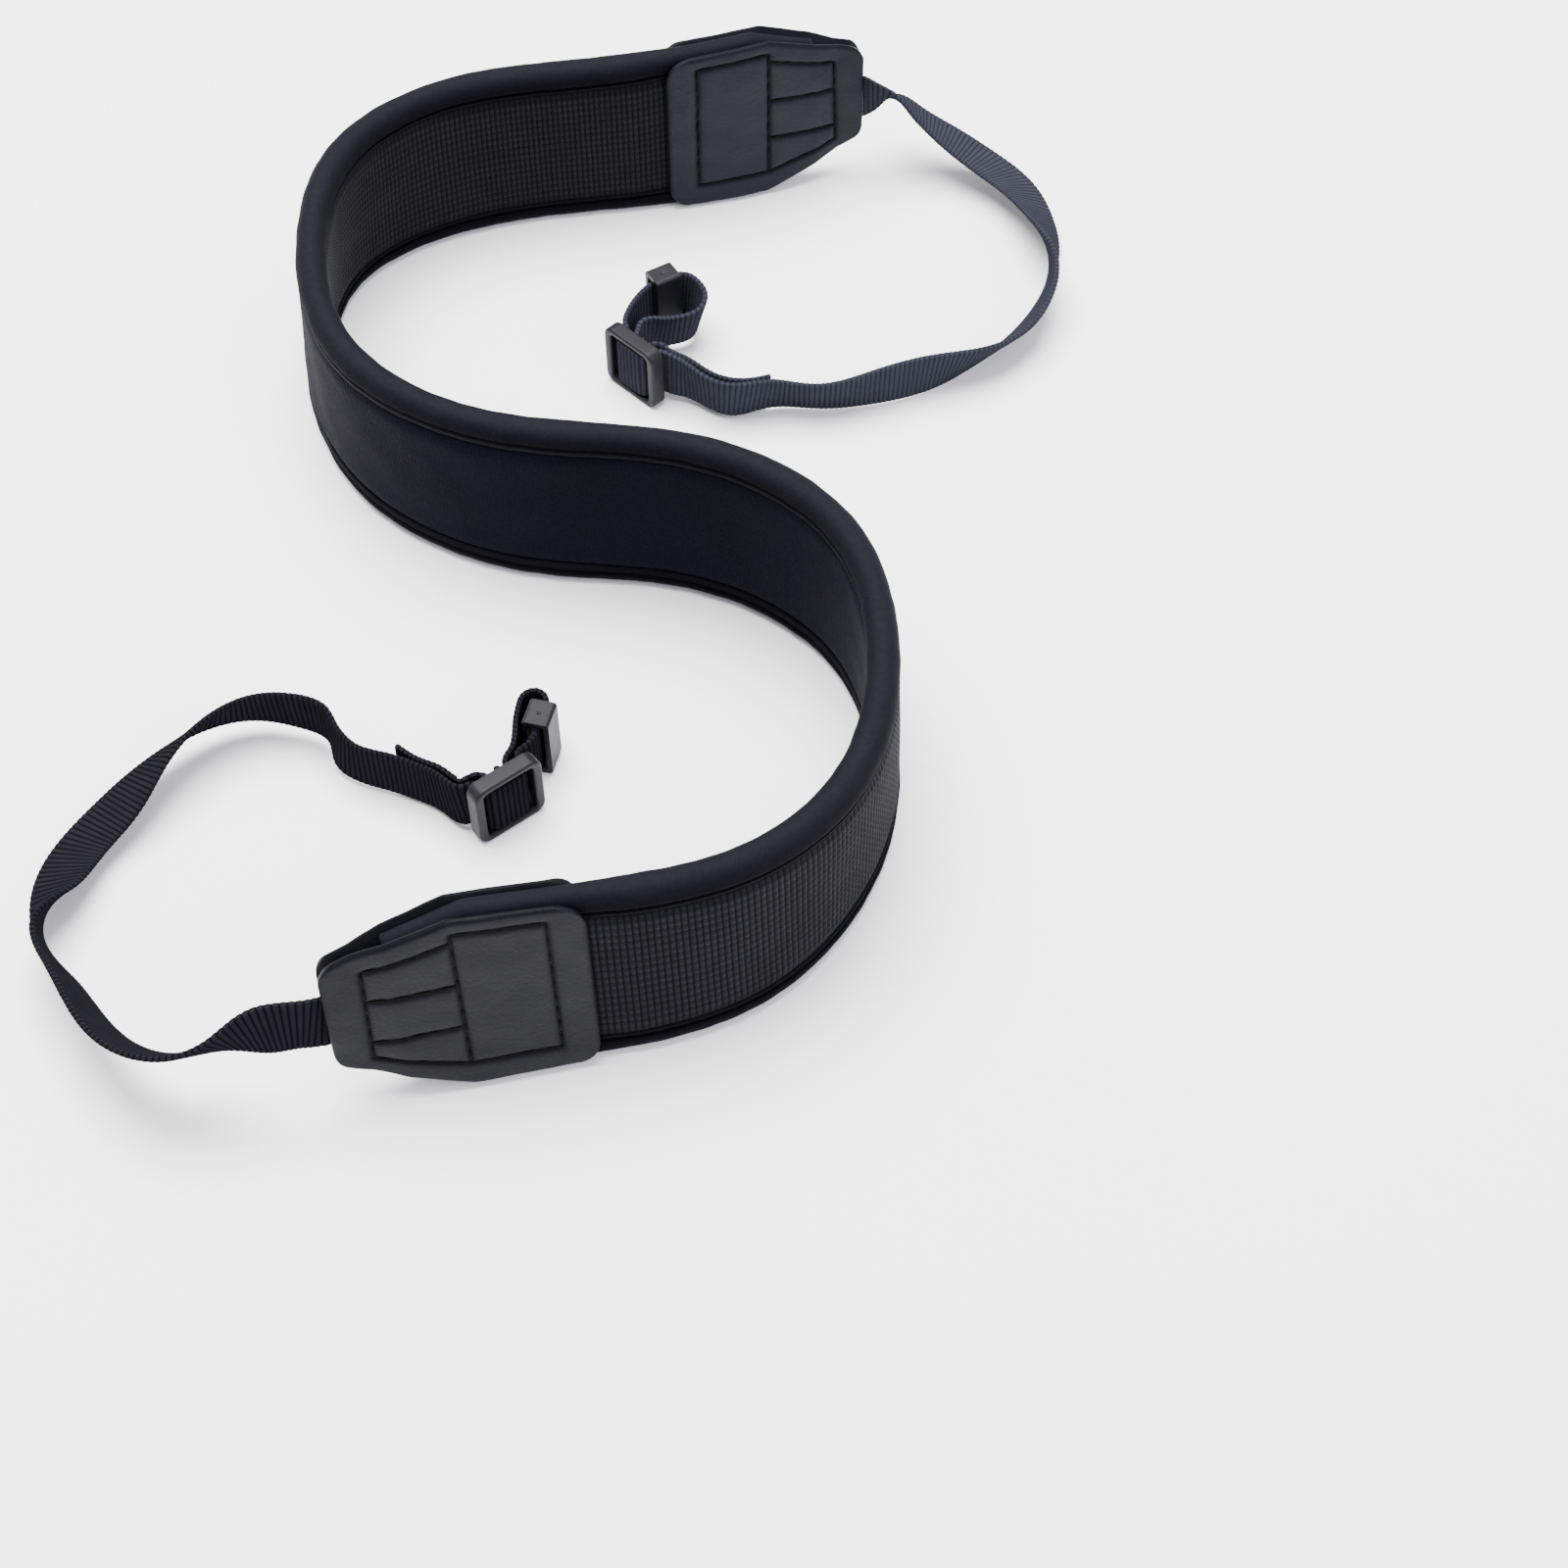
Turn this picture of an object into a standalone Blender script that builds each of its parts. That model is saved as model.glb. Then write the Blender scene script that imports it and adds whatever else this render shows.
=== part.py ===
"""Camera neck strap: a padded neck band with leather-look end patches and two webbing ends.

The band stands on its lower edge and snakes over the floor.  Each webbing end leaves a patch,
curls round, weaves through a three-bar slider, makes a small lug loop inside a keeper and comes
back through the slider as a short tail.  End "a" is the far one, end "b" the near one.
Every size below is in millimetres; MM turns it into metres.  Z is up and the floor is z = 0.
"""
import math

import bmesh
import bpy
import numpy as np
from mathutils import Vector

MM = 0.001

# --- sizes ---------------------------------------------------------------------------------
GAP = 0.3                  # air kept between pieces that touch in use
BOX_MIDDLE = (-0.96, -1.82)    # middle of the whole outline on the floor, taken off every point

PAD_HEIGHT = 38.0
PAD_HALF = 2.75            # half of the band's full thickness
PAD_STATION = 6.0          # distance between two sections of the band
REST_FLAT = 0.3            # an edge this close to the floor is pressed flat onto it

BINDING_WALL = 1.0
BINDING_LEG = 5.2          # how far the edge binding reaches over each face
FLAT_TURN = 14             # half angle of the flat that the rolled edge rests on, degrees
ROLL_TURN = 50             # the roll's next points, between that flat and the faces, degrees
CROWN_DROP = 0.15          # the smooth face lies this much below the binding
CROWN_STEP = 0.4
MESH_THICKNESS = 1.0

PATCH_WALL = 1.0
PATCH_LENGTH = 40.4        # from the narrow end to the edge that meets the open band
PATCH_MIDDLE = 19.1        # height of the patch's middle line
PATCH_HALF_HEIGHT = 18.35
PATCH_NARROW_HALF = 10.4    # half height at the narrow end
PATCH_SLOPE = 0.385        # growth of the half height per mm of length
PATCH_END_ROUND = 3.0      # corner radius at the narrow end
PATCH_BACK_ROUND = 5.0     # corner radius at the edge on the open band
PATCH_FLOOR = 0.15         # a patch's lowest edge hangs this high
# Distances from the narrow end at which a patch gets a section, closer at its round corners.
PATCH_STATIONS = (0.0, 0.4, 1.3, 3.0, 5.4, 10.4, 15.4, 19.4, 22.0, 28.5, 35.4, 37.9, 39.5, 40.4)

CORE_START = 10.4          # the core and its bindings begin this far inside the narrow end
PATCH_A_START = -10.9      # route distance of the narrow end of patch a
PATCH_B_START = 397.6      # route distance of the narrow end of patch b

WEB_WIDTH = 10.4
WEB_HALF = 0.5             # half of the webbing's thickness
WEB_EDGE = 0.35            # how far the webbing's edge comes to a rounded point
WEB_LIFT = 0.1             # the webbing's lowest edge stays this far above the floor
WEB_STATION = 4.5          # longest step between two sections of the webbing
WEB_BEND_STEP = 1.4        # points of a route this close together get no section between them
WEB_HELD = (9.8, 6.4, 3.4, 0.2)   # ways in from the narrow end where the patch holds it
WEB_A_HEIGHT = 17.0        # height up the band at which each webbing leaves its patch
WEB_B_HEIGHT = 17.8

SLIDER_LENGTH = 13.2
SLIDER_DEPTH = 3.0
SLIDER_HEIGHT = 13.5
SLIDER_END_BAR = 1.7
SLIDER_RAIL = 1.25
SLIDER_CORNER = 2.0
SLIDER_WINDOW_CORNER = 0.6
CORNER_SEGMENTS = 3        # flats round a moulded corner
CUTTER_REACH = 3.0         # a cutter stands out this far at either end
MIDDLE_BAR_WIDTH = 1.2
MIDDLE_BAR_BACK = (2.7, 3.9)   # front and back of the middle bar, behind the slider's face
MIDDLE_BAR_ROOT = 0.4          # how deep the middle bar runs into each rail

KEEPER_WIDTH = 4.7
KEEPER_LENGTH = 5.2
KEEPER_WALL = 0.9
KEEPER_HEIGHT = 12.8       # shorter than the slider, so it hangs on the webbing clear of the floor
KEEPER_CORNER = 0.7

# --- tables --------------------------------------------------------------------------------
# The band's middle line on the floor: x, y, and how far its top leans over in degrees.
PAD_ROUTE = (
    (38.0, 105.5, 0.0),
    (16.5, 99.0, 2.0),
    (-6.5, 95.5, 4.5),
    (-32.0, 89.0, 4.0),
    (-52.0, 73.5, 7.0),
    (-54.5, 41.0, 4.0),
    (-41.5, 14.5, -1.0),
    (-14.5, -1.5, -1.5),
    (16.5, -6.0, -1.5),
    (43.0, -24.5, -1.5),
    (49.8, -53.5, -1.8),
    (42.0, -78.9, 0.1),
    (26.8, -95.1, -3.4),
    (4.6, -102.9, -6.6),
    (-27.5, -110.5, -10.5),
)

# Inner face of a patch: distance from the narrow end, distance from the band's middle layer.
PATCH_INSIDE = (
    (0.0, 0.8),
    (5.4, 0.8),
    (10.4, 1.9),
    (19.4, 2.2),
    (35.4, 2.3),
    (40.4, 2.45),
    (46.4, 3.05),
)

# Webbing of end a up to its slider: x, y, z of its middle and its turn about its own line.
WEB_A_RUN = (
    (51.1, 109.1, 17.1, 20.0),
    (54.4, 109.1, 17.0, 47.0),
    (60.1, 108.0, 13.3, 66.0),
    (66.6, 105.9, 9.0, 74.0),
    (73.4, 102.2, 6.1, 74.0),
    (79.2, 96.2, 5.2, 69.0),
    (82.8, 88.0, 5.4, 54.0),
    (84.8, 79.0, 5.9, 31.0),
    (85.1, 70.0, 5.6, -6.0),
    (82.5, 61.0, 5.1, -28.0),
    (77.4, 53.1, 4.6, -37.0),
    (69.5, 46.4, 5.0, -28.0),
    (59.8, 41.6, 5.6, -7.0),
    (49.5, 38.0, 5.6, -10.0),
    (38.9, 36.0, 5.3, -22.0),
    (29.8, 36.2, 5.7, -17.0),
    (23.0, 34.5, 6.0, -12.0),
    (18.1, 36.5, 6.4, -10.0),
    (14.4, 39.3, 6.6, -5.0),
)
# The lug loop of end a, from behind the slider round through the keeper and back.
WEB_A_LOOP = (
    (3.1, 48.8, 6.75, 0.0),
    (3.2, 51.6, 6.75, 0.0),
    (4.2, 54.6, 6.75, 0.0),
    (5.7, 57.5, 6.75, 0.0),
    (7.7, 59.9, 6.75, 0.0),
    (9.9, 61.3, 6.75, 0.0),
    (12.1, 62.6, 6.75, 0.0),
    (14.1, 62.6, 6.6, -4.0),
    (16.0, 60.7, 6.5, -8.0),
    (16.9, 57.6, 6.4, -14.0),
    (15.7, 54.6, 6.3, -18.0),
    (12.0, 52.8, 6.3, -18.0),
    (8.6, 51.6, 6.5, -12.0),
    (6.2, 49.6, 6.75, 0.0),
)
WEB_A_TAIL = (
    (11.5, 42.4, 6.4, 2.0),
    (14.9, 40.6, 6.3, 5.0),
    (18.6, 38.2, 6.0, 10.0),
    (22.9, 36.4, 5.6, 12.0),
    (26.4, 36.6, 5.5, 15.0),
    (29.9, 37.7, 5.4, 16.0),
)

# Webbing of end b up to its slider.
WEB_B_RUN = (
    (-38.8, -110.2, 18.2, 8.0),
    (-45.3, -111.5, 18.4, 9.0),
    (-51.8, -113.2, 17.0, -23.0),
    (-60.3, -113.7, 14.4, -36.0),
    (-69.2, -109.2, 11.9, -33.0),
    (-75.3, -102.0, 10.0, -26.0),
    (-80.7, -94.0, 7.8, -19.0),
    (-85.7, -85.6, 6.0, 5.0),
    (-85.2, -76.0, 4.6, 60.0),
    (-82.6, -66.9, 3.4, 73.0),
    (-77.4, -59.5, 4.6, 70.0),
    (-71.7, -51.8, 7.0, 48.0),
    (-65.4, -44.9, 7.7, 32.0),
    (-57.4, -40.9, 7.6, 18.0),
    (-49.2, -41.3, 7.3, 6.0),
    (-43.9, -44.0, 7.0, 0.0),
    (-42.0, -48.0, 6.4, -6.0),
    (-38.4, -51.2, 5.9, 0.0),
    (-33.0, -53.1, 5.8, 0.0),
    (-28.0, -55.1, 5.8, 0.0),
    (-24.0, -57.5, 6.0, 0.0),
)
# The lug loop of end b.
WEB_B_LOOP = (
    (-11.1, -53.6, 6.75, 0.0),
    (-9.8, -51.9, 6.75, 0.0),
    (-8.6, -49.8, 6.75, 0.0),
    (-7.7, -46.2, 6.75, 0.0),
    (-6.9, -43.3, 6.75, 0.0),
    (-7.4, -40.9, 6.6, 0.0),
    (-9.1, -39.9, 6.5, 0.0),
    (-10.7, -40.7, 6.5, 0.0),
    (-11.5, -43.0, 6.6, 0.0),
    (-11.8, -46.5, 6.75, 0.0),
    (-11.8, -49.9, 6.75, 0.0),
    (-12.25, -52.6, 6.75, 0.0),
)
WEB_B_TAIL = (
    (-19.5, -58.5, 6.1, 0.0),
    (-23.5, -56.0, 5.8, 0.0),
    (-27.1, -54.1, 5.6, 0.0),
    (-31.5, -51.0, 5.6, 0.0),
)

# The way over the middle bar: distance along the slider from its middle, distance behind its face.
WEAVE_OUTER = (
    (-5.8, 4.45),
    (-4.5, 4.0),
    (-4.0, 2.9),
    (-3.8, 1.5),
    (-3.0, 0.6),
    (-1.6, 0.3),
    (0.0, 0.25),
    (1.6, 0.3),
    (3.0, 0.6),
    (3.8, 1.5),
    (4.0, 2.9),
    (4.5, 4.0),
)
WEAVE_INNER = (
    (2.62, 4.96),
    (1.7, 3.2),
    (1.2, 2.1),
    (0.0, 1.68),
    (-1.2, 2.1),
    (-1.7, 3.2),
    (-2.62, 4.96),
)
WEAVE_HEIGHT = SLIDER_HEIGHT / 2

# Sliders and keepers on the floor: x, y, turn about Z in degrees.  A slider's x, y is the middle
# of its face and its turn points local +Y to its back; a keeper's turn points local +Y through it.
SLIDER_A = (3.8, 41.8, -44.4)
SLIDER_B = (-12.0, -60.2, 38.6)
KEEPER_A = (9.9, 61.3, -58.4)
KEEPER_B = (-7.8, -46.2, -13.4)

# --- finishes: base colour, roughness --------------------------------------------------------
FINISHES = {
    "neoprene_jersey": ((0.012, 0.013, 0.016), 0.85),
    "ribbed_mesh": ((0.022, 0.023, 0.026), 0.8),
    "edge_binding": ((0.010, 0.011, 0.013), 0.75),
    "patch_leather": ((0.050, 0.052, 0.056), 0.55),
    "nylon_webbing": ((0.020, 0.022, 0.027), 0.7),
    "moulded_plastic": ((0.070, 0.068, 0.080), 0.4),
}


def material(finish):
    """Return the material of a finish, made the first time it is asked for."""
    found = bpy.data.materials.get(finish)
    if found:
        return found
    colour, roughness = FINISHES[finish]
    made = bpy.data.materials.new(finish)
    made.use_nodes = True
    surface = made.node_tree.nodes["Principled BSDF"]
    surface.inputs["Base Color"].default_value = (*colour, 1.0)
    surface.inputs["Roughness"].default_value = roughness
    surface.inputs["Metallic"].default_value = 0.0
    return made


def smooth_curve(rows):
    """Return distances along the rows and a function that reads the smooth curve through them."""
    rows = np.array(rows, dtype=float)
    axes = 3 if rows.shape[1] == 4 else 2
    steps = np.linalg.norm(np.diff(rows[:, :axes], axis=0), axis=1)
    knots = np.concatenate(([0.0], np.cumsum(steps)))
    count = len(knots)
    matrix = np.zeros((count, count))
    target = np.zeros_like(rows)
    matrix[0, 0] = 1.0
    matrix[-1, -1] = 1.0
    for i in range(1, count - 1):
        matrix[i, i - 1] = steps[i - 1]
        matrix[i, i] = 2.0 * (steps[i - 1] + steps[i])
        matrix[i, i + 1] = steps[i]
        rise = (rows[i + 1] - rows[i]) / steps[i]
        fall = (rows[i] - rows[i - 1]) / steps[i - 1]
        target[i] = 6.0 * (rise - fall)
    bend = np.linalg.solve(matrix, target)

    def read(distance):
        """Return the row at a distance and its slope; past either end the curve runs straight."""
        inside = min(max(distance, 0.0), knots[-1])
        i = min(int(np.searchsorted(knots, inside, side="right")) - 1, count - 2)
        h = steps[i]
        b = (inside - knots[i]) / h
        a = 1.0 - b
        value = a * rows[i] + b * rows[i + 1]
        value = value + ((a**3 - a) * bend[i] + (b**3 - b) * bend[i + 1]) * h * h / 6.0
        slope = (rows[i + 1] - rows[i]) / h
        slope = slope + ((1 - 3 * a * a) * bend[i] + (3 * b * b - 1) * bend[i + 1]) * h / 6.0
        straight = slope.copy()
        straight[axes:] = 0.0
        return value + straight * (distance - inside), slope

    return knots, read


read_pad = smooth_curve(PAD_ROUTE)[1]


def pad_point(distance, up, out):
    """Return the point of the band at a route distance, a height up it and a way out of its middle."""
    (x, y, lean), slope = read_pad(distance)
    along = math.hypot(slope[0], slope[1])
    side = (-slope[1] / along, slope[0] / along)
    angle = math.radians(lean)
    across = up * math.sin(angle) + out * math.cos(angle)
    z = up * math.cos(angle) - out * math.sin(angle)
    return Vector((x + side[0] * across, y + side[1] * across, z))


def from_narrow_end(distance):
    """Return how far a route distance lies inside the nearer patch's narrow end."""
    return min(distance - PATCH_A_START, PATCH_B_START - distance)


def patch_inside(inset):
    """Return the distance of a patch's inner face from the band's middle layer."""
    insets, offsets = zip(*PATCH_INSIDE)
    return float(np.interp(inset, insets, offsets))


def half_thickness(distance):
    """Return half the band's thickness: full in the open, pressed thin under the patches."""
    return min(PAD_HALF, patch_inside(from_narrow_end(distance)) - GAP)


def patch_half_height(inset):
    """Return half the height of a patch's outline, without its corner rounding."""
    return min(PATCH_HALF_HEIGHT, PATCH_NARROW_HALF + PATCH_SLOPE * inset)


def band_limits(distance):
    """Return the heights of the band's lower and upper edge: it narrows with the patches."""
    half = min(PAD_HEIGHT / 2, PATCH_NARROW_HALF + PATCH_SLOPE * from_narrow_end(distance) - GAP)
    middle = PAD_HEIGHT / 2
    return middle - half, middle + half


def corner_cut(inset, radius, start):
    """Return how much a rounded corner takes off the half height near an end at start."""
    reach = abs(inset - start)
    if reach >= radius:
        return 0.0
    return radius - math.sqrt(radius**2 - (radius - reach) ** 2)


def patch_limits(inset):
    """Return the heights of a patch's lower and upper edge, with round corners."""
    half = patch_half_height(inset)
    half -= corner_cut(inset, PATCH_END_ROUND, 0.0)
    half -= corner_cut(inset, PATCH_BACK_ROUND, PATCH_LENGTH)
    return PATCH_MIDDLE - half, PATCH_MIDDLE + half


def band_stations(start, end):
    """Return route distances between start and end, about one PAD_STATION apart."""
    count = round((end - start) / PAD_STATION)
    return [start + (end - start) * i / count for i in range(count + 1)]


def shifted(point):
    """Return a point in metres, measured from the middle of the outline."""
    return Vector((point.x - BOX_MIDDLE[0], point.y - BOX_MIDDLE[1], point.z)) * MM


def sweep(name, finish, sections):
    """Skin a closed piece through a list of equal sections, each a ring of points in mm."""
    shell = bmesh.new()
    ring = [shell.verts.new(shifted(point)) for point in sections[0]]
    edges = [shell.edges.new((ring[i - 1], ring[i])) for i in range(len(ring))]
    bmesh.ops.contextual_create(shell, geom=edges)
    for section in sections[1:]:
        grown = bmesh.ops.extrude_edge_only(shell, edges=edges)["geom"]
        fresh = {item for item in grown if isinstance(item, bmesh.types.BMVert)}
        edges = [item for item in grown if isinstance(item, bmesh.types.BMEdge)]
        edges = [edge for edge in edges if edge.verts[0] in fresh and edge.verts[1] in fresh]
        following = []
        for corner in ring:
            links = [edge.other_vert(corner) for edge in corner.link_edges]
            following.append(next(other for other in links if other in fresh))
        for corner, point in zip(following, section):
            corner.co = shifted(point)
        ring = following
    bmesh.ops.contextual_create(shell, geom=edges)
    bmesh.ops.recalc_face_normals(shell, faces=shell.faces)
    return add_object(name, finish, shell)


def add_object(name, finish, shell, smooth=True):
    """Turn a shell into a named object with its finish."""
    mesh = bpy.data.meshes.new(name)
    for face in shell.faces:
        face.smooth = smooth
    shell.to_mesh(mesh)
    shell.free()
    mesh.materials.append(material(finish))
    made = bpy.data.objects.new(name, mesh)
    bpy.context.scene.collection.objects.link(made)
    return made


def on_floor(point):
    """Press a point that lies on the floor, or just above it, flat onto the floor."""
    if point.z < REST_FLAT:
        point.z = 0.0
    return point


def arc(middle, radius, turns):
    """Return points of an edge roll: distance in from the edge, distance out of the middle."""
    points = []
    for turn in turns:
        angle = math.radians(turn)
        points.append((middle - radius * math.cos(angle), radius * math.sin(angle)))
    return points


def binding_profile(half):
    """Return the C section of an edge binding: way in from the edge, way out of the middle."""
    inner = half - BINDING_WALL
    outside = arc(half, half, (90, ROLL_TURN, FLAT_TURN, -FLAT_TURN, -ROLL_TURN, -90))
    inside = arc(half, inner, (-90, 0, 90))
    return (
        [(BINDING_LEG, half)]
        + outside
        + [(BINDING_LEG, -half), (BINDING_LEG, -inner)]
        + inside
        + [(BINDING_LEG, inner)]
    )


def make_binding(name, upper):
    """Make one edge binding, folded over the band's upper or lower edge."""
    sections = []
    start = PATCH_A_START + CORE_START
    end = PATCH_B_START - CORE_START
    for distance in band_stations(start, end):
        low, high = band_limits(distance)
        ring = []
        for inward, out in binding_profile(half_thickness(distance)):
            height = high - inward if upper else low + inward
            ring.append(on_floor(pad_point(distance, height, out)))
        sections.append(ring)
    sweep(name, "edge_binding", sections)


def make_core():
    """Make the foam band with its smooth face raised between the two bindings."""
    sections = []
    start = PATCH_A_START + CORE_START
    end = PATCH_B_START - CORE_START
    edge = BINDING_WALL + GAP
    step = BINDING_LEG + GAP
    for distance in band_stations(start, end):
        low, high = band_limits(distance)
        half = half_thickness(distance)
        flank = half - edge
        crown = half - CROWN_DROP
        ring = [
            (low + edge, 0.0),
            (low + half, flank),
            (high - half, flank),
            (high - edge, 0.0),
            (high - half, -flank),
            (high - step, -flank),
            (high - step - CROWN_STEP, -crown),
            (low + step + CROWN_STEP, -crown),
            (low + step, -flank),
            (low + half, -flank),
        ]
        sections.append([pad_point(distance, up, out) for up, out in ring])
    sweep("pad_core", "neoprene_jersey", sections)


def make_grip_mesh():
    """Make the ribbed layer on the other face, between the bindings and the patches."""
    start = PATCH_A_START + PATCH_LENGTH + GAP
    end = PATCH_B_START - PATCH_LENGTH - GAP
    step = BINDING_LEG + GAP
    sections = []
    for distance in band_stations(start, end):
        low, high = band_limits(distance)
        outer = half_thickness(distance)
        inner = outer - MESH_THICKNESS
        ring = [(low + step, inner), (low + step, outer), (high - step, outer), (high - step, inner)]
        sections.append([pad_point(distance, up, out) for up, out in ring])
    sweep("grip_mesh", "ribbed_mesh", sections)


def make_patch(name, start, direction, side):
    """Make one leather layer of a patch: start and direction along the route, side +1 or -1."""
    sections = []
    for inset in PATCH_STATIONS:
        low, high = patch_limits(inset)
        inner = patch_inside(inset)
        outer = inner + PATCH_WALL
        ring = [(low, inner), (low, outer), (high, outer), (high, inner)]
        distance = start + direction * inset
        points = [pad_point(distance, up, side * out) for up, out in ring]
        for point in points:
            point.z = max(point.z, PATCH_FLOOR)
        sections.append(points)
    sweep(name, "patch_leather", sections)


def slider_axes(slider):
    """Return a slider's middle, the way along it and the way to its back, on the floor."""
    x, y, turn = slider
    angle = math.radians(turn)
    along = Vector((math.cos(angle), math.sin(angle)))
    back = Vector((-math.sin(angle), math.cos(angle)))
    return Vector((x, y)), along, back


def weave(rows, slider, sense):
    """Return webbing stations over the middle bar; sense is +1 or -1 for the way it runs."""
    middle, along, back = slider_axes(slider)
    stations = []
    for distance, depth in rows:
        spot = middle + along * (sense * distance) + back * depth
        stations.append((spot.x, spot.y, WEAVE_HEIGHT, 0.0))
    return tuple(stations)


def web_profile():
    """Return the webbing's section: way across its width, way through its thickness."""
    half = WEB_WIDTH / 2
    flat = half - WEB_EDGE
    return (
        (half, 0.0),
        (flat, WEB_HALF),
        (-flat, WEB_HALF),
        (-half, 0.0),
        (-flat, -WEB_HALF),
        (flat, -WEB_HALF),
    )


def web_section(read, distance):
    """Return one ring of the webbing, lifted where its lower edge would reach the floor."""
    (x, y, z, turn), slope = read(distance)
    run = Vector(slope[:3]).normalized()
    up = Vector((0, 0, 1))
    up = (up - run * run.dot(up)).normalized()
    side = run.cross(up)
    angle = math.radians(turn)
    across = up * math.cos(angle) + side * math.sin(angle)
    through = run.cross(across)
    ring = [Vector((x, y, z)) + across * w + through * t for w, t in web_profile()]
    lowest = min(point.z for point in ring)
    lift = max(0.0, WEB_LIFT - lowest)
    return [point + Vector((0, 0, lift)) for point in ring]


def held(start, direction, height):
    """Return the webbing stations between the layers of a patch, at the band's own lean."""
    stations = []
    for inset in WEB_HELD:
        distance = start + direction * inset
        point = pad_point(distance, height, 0.0)
        lean = read_pad(distance)[0][2]
        stations.append((point.x, point.y, point.z, direction * lean))
    return tuple(stations)


def make_webbing(name, run, slider, sense, loop, tail):
    """Make one webbing: patch, run, slider, lug loop, slider again and tail, in one piece."""
    there = weave(WEAVE_OUTER, slider, sense)
    back = weave(WEAVE_INNER, slider, sense)
    knots, read = smooth_curve(run + there + loop + back + tail)
    distances = [knots[0]]
    for first, second in zip(knots, knots[1:]):
        step = second - first
        parts = max(2, math.ceil(step / WEB_STATION)) if step > WEB_BEND_STEP else 1
        distances += [first + step * i / parts for i in range(1, parts + 1)]
    sweep(name, "nylon_webbing", [web_section(read, distance) for distance in distances])


def runs_along_y(edge):
    """Say whether an edge of a block runs along Y."""
    way = edge.verts[0].co - edge.verts[1].co
    return abs(way.y) > abs(way.x) + abs(way.z)


def block(name, size, low_corner, corner=0.0):
    """Make a plastic block from its size and lowest corner, with the edges along Y rounded."""
    shell = bmesh.new()
    bmesh.ops.create_cube(shell, size=1.0)
    middle = Vector(low_corner) + Vector(size) / 2
    bmesh.ops.scale(shell, vec=Vector(size) * MM, verts=shell.verts)
    bmesh.ops.translate(shell, vec=middle * MM, verts=shell.verts)
    if corner:
        bmesh.ops.bevel(
            shell,
            geom=[edge for edge in shell.edges if runs_along_y(edge)],
            offset=corner * MM,
            segments=CORNER_SEGMENTS,
            profile=0.5,
            affect="EDGES",
        )
    return add_object(name, "moulded_plastic", shell, smooth=False)


def boolean(target, cutter, operation):
    """Add an exact boolean to the target and keep the cutter out of the part."""
    step = target.modifiers.new(cutter.name, "BOOLEAN")
    step.operation = operation
    step.solver = "EXACT"
    step.object = cutter
    cutter.hide_render = True
    cutter.display_type = "WIRE"


def stand(piece, cutters, place):
    """Put a piece and what shapes it at its place on the floor."""
    x, y, turn = place
    spot = shifted(Vector((x, y, 0.0)))
    for item in [piece] + cutters:
        item.location = spot
        item.rotation_euler = (0.0, 0.0, math.radians(turn))


def make_slider(name, place):
    """Make a three-bar slider: a round-cornered frame with a middle bar set to its back."""
    half = SLIDER_LENGTH / 2
    window = SLIDER_LENGTH - 2 * SLIDER_END_BAR
    opening = SLIDER_HEIGHT - 2 * SLIDER_RAIL
    front, rear = MIDDLE_BAR_BACK
    body = block(
        name,
        (SLIDER_LENGTH, SLIDER_DEPTH, SLIDER_HEIGHT),
        (-half, 0.0, 0.0),
        SLIDER_CORNER,
    )
    hole = block(
        name + "_window",
        (window, SLIDER_DEPTH + 2 * CUTTER_REACH, opening),
        (-window / 2, -CUTTER_REACH, SLIDER_RAIL),
        SLIDER_WINDOW_CORNER,
    )
    bar = block(
        name + "_bar",
        (MIDDLE_BAR_WIDTH, rear - front, opening + 2 * MIDDLE_BAR_ROOT),
        (-MIDDLE_BAR_WIDTH / 2, front, SLIDER_RAIL - MIDDLE_BAR_ROOT),
    )
    boolean(body, hole, "DIFFERENCE")
    boolean(body, bar, "UNION")
    stand(body, [hole, bar], place)


def make_keeper(name, place):
    """Make a keeper: a short upright box, open along the webbing that runs through it."""
    bottom = WEAVE_HEIGHT - KEEPER_HEIGHT / 2
    wide = KEEPER_WIDTH - 2 * KEEPER_WALL
    tall = KEEPER_HEIGHT - 2 * KEEPER_WALL
    start = -KEEPER_LENGTH / 2
    body = block(
        name,
        (KEEPER_WIDTH, KEEPER_LENGTH, KEEPER_HEIGHT),
        (-KEEPER_WIDTH / 2, start, bottom),
        KEEPER_CORNER,
    )
    hole = block(
        name + "_passage",
        (wide, KEEPER_LENGTH + 2 * CUTTER_REACH, tall),
        (-wide / 2, start - CUTTER_REACH, bottom + KEEPER_WALL),
    )
    boolean(body, hole, "DIFFERENCE")
    stand(body, [hole], place)


def main():
    for item in list(bpy.data.objects):
        bpy.data.objects.remove(item)
    make_core()
    make_grip_mesh()
    make_binding("binding_upper", upper=True)
    make_binding("binding_lower", upper=False)
    make_patch("patch_a_grip_side", PATCH_A_START, 1, 1)
    make_patch("patch_a_smooth_side", PATCH_A_START, 1, -1)
    make_patch("patch_b_grip_side", PATCH_B_START, -1, 1)
    make_patch("patch_b_smooth_side", PATCH_B_START, -1, -1)
    run_a = held(PATCH_A_START, 1, WEB_A_HEIGHT) + WEB_A_RUN
    run_b = held(PATCH_B_START, -1, WEB_B_HEIGHT) + WEB_B_RUN
    make_webbing("webbing_a", run_a, SLIDER_A, -1, WEB_A_LOOP, WEB_A_TAIL)
    make_webbing("webbing_b", run_b, SLIDER_B, 1, WEB_B_LOOP, WEB_B_TAIL)
    make_slider("slider_a", SLIDER_A)
    make_slider("slider_b", SLIDER_B)
    make_keeper("keeper_a", KEEPER_A)
    make_keeper("keeper_b", KEEPER_B)


main()
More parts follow.
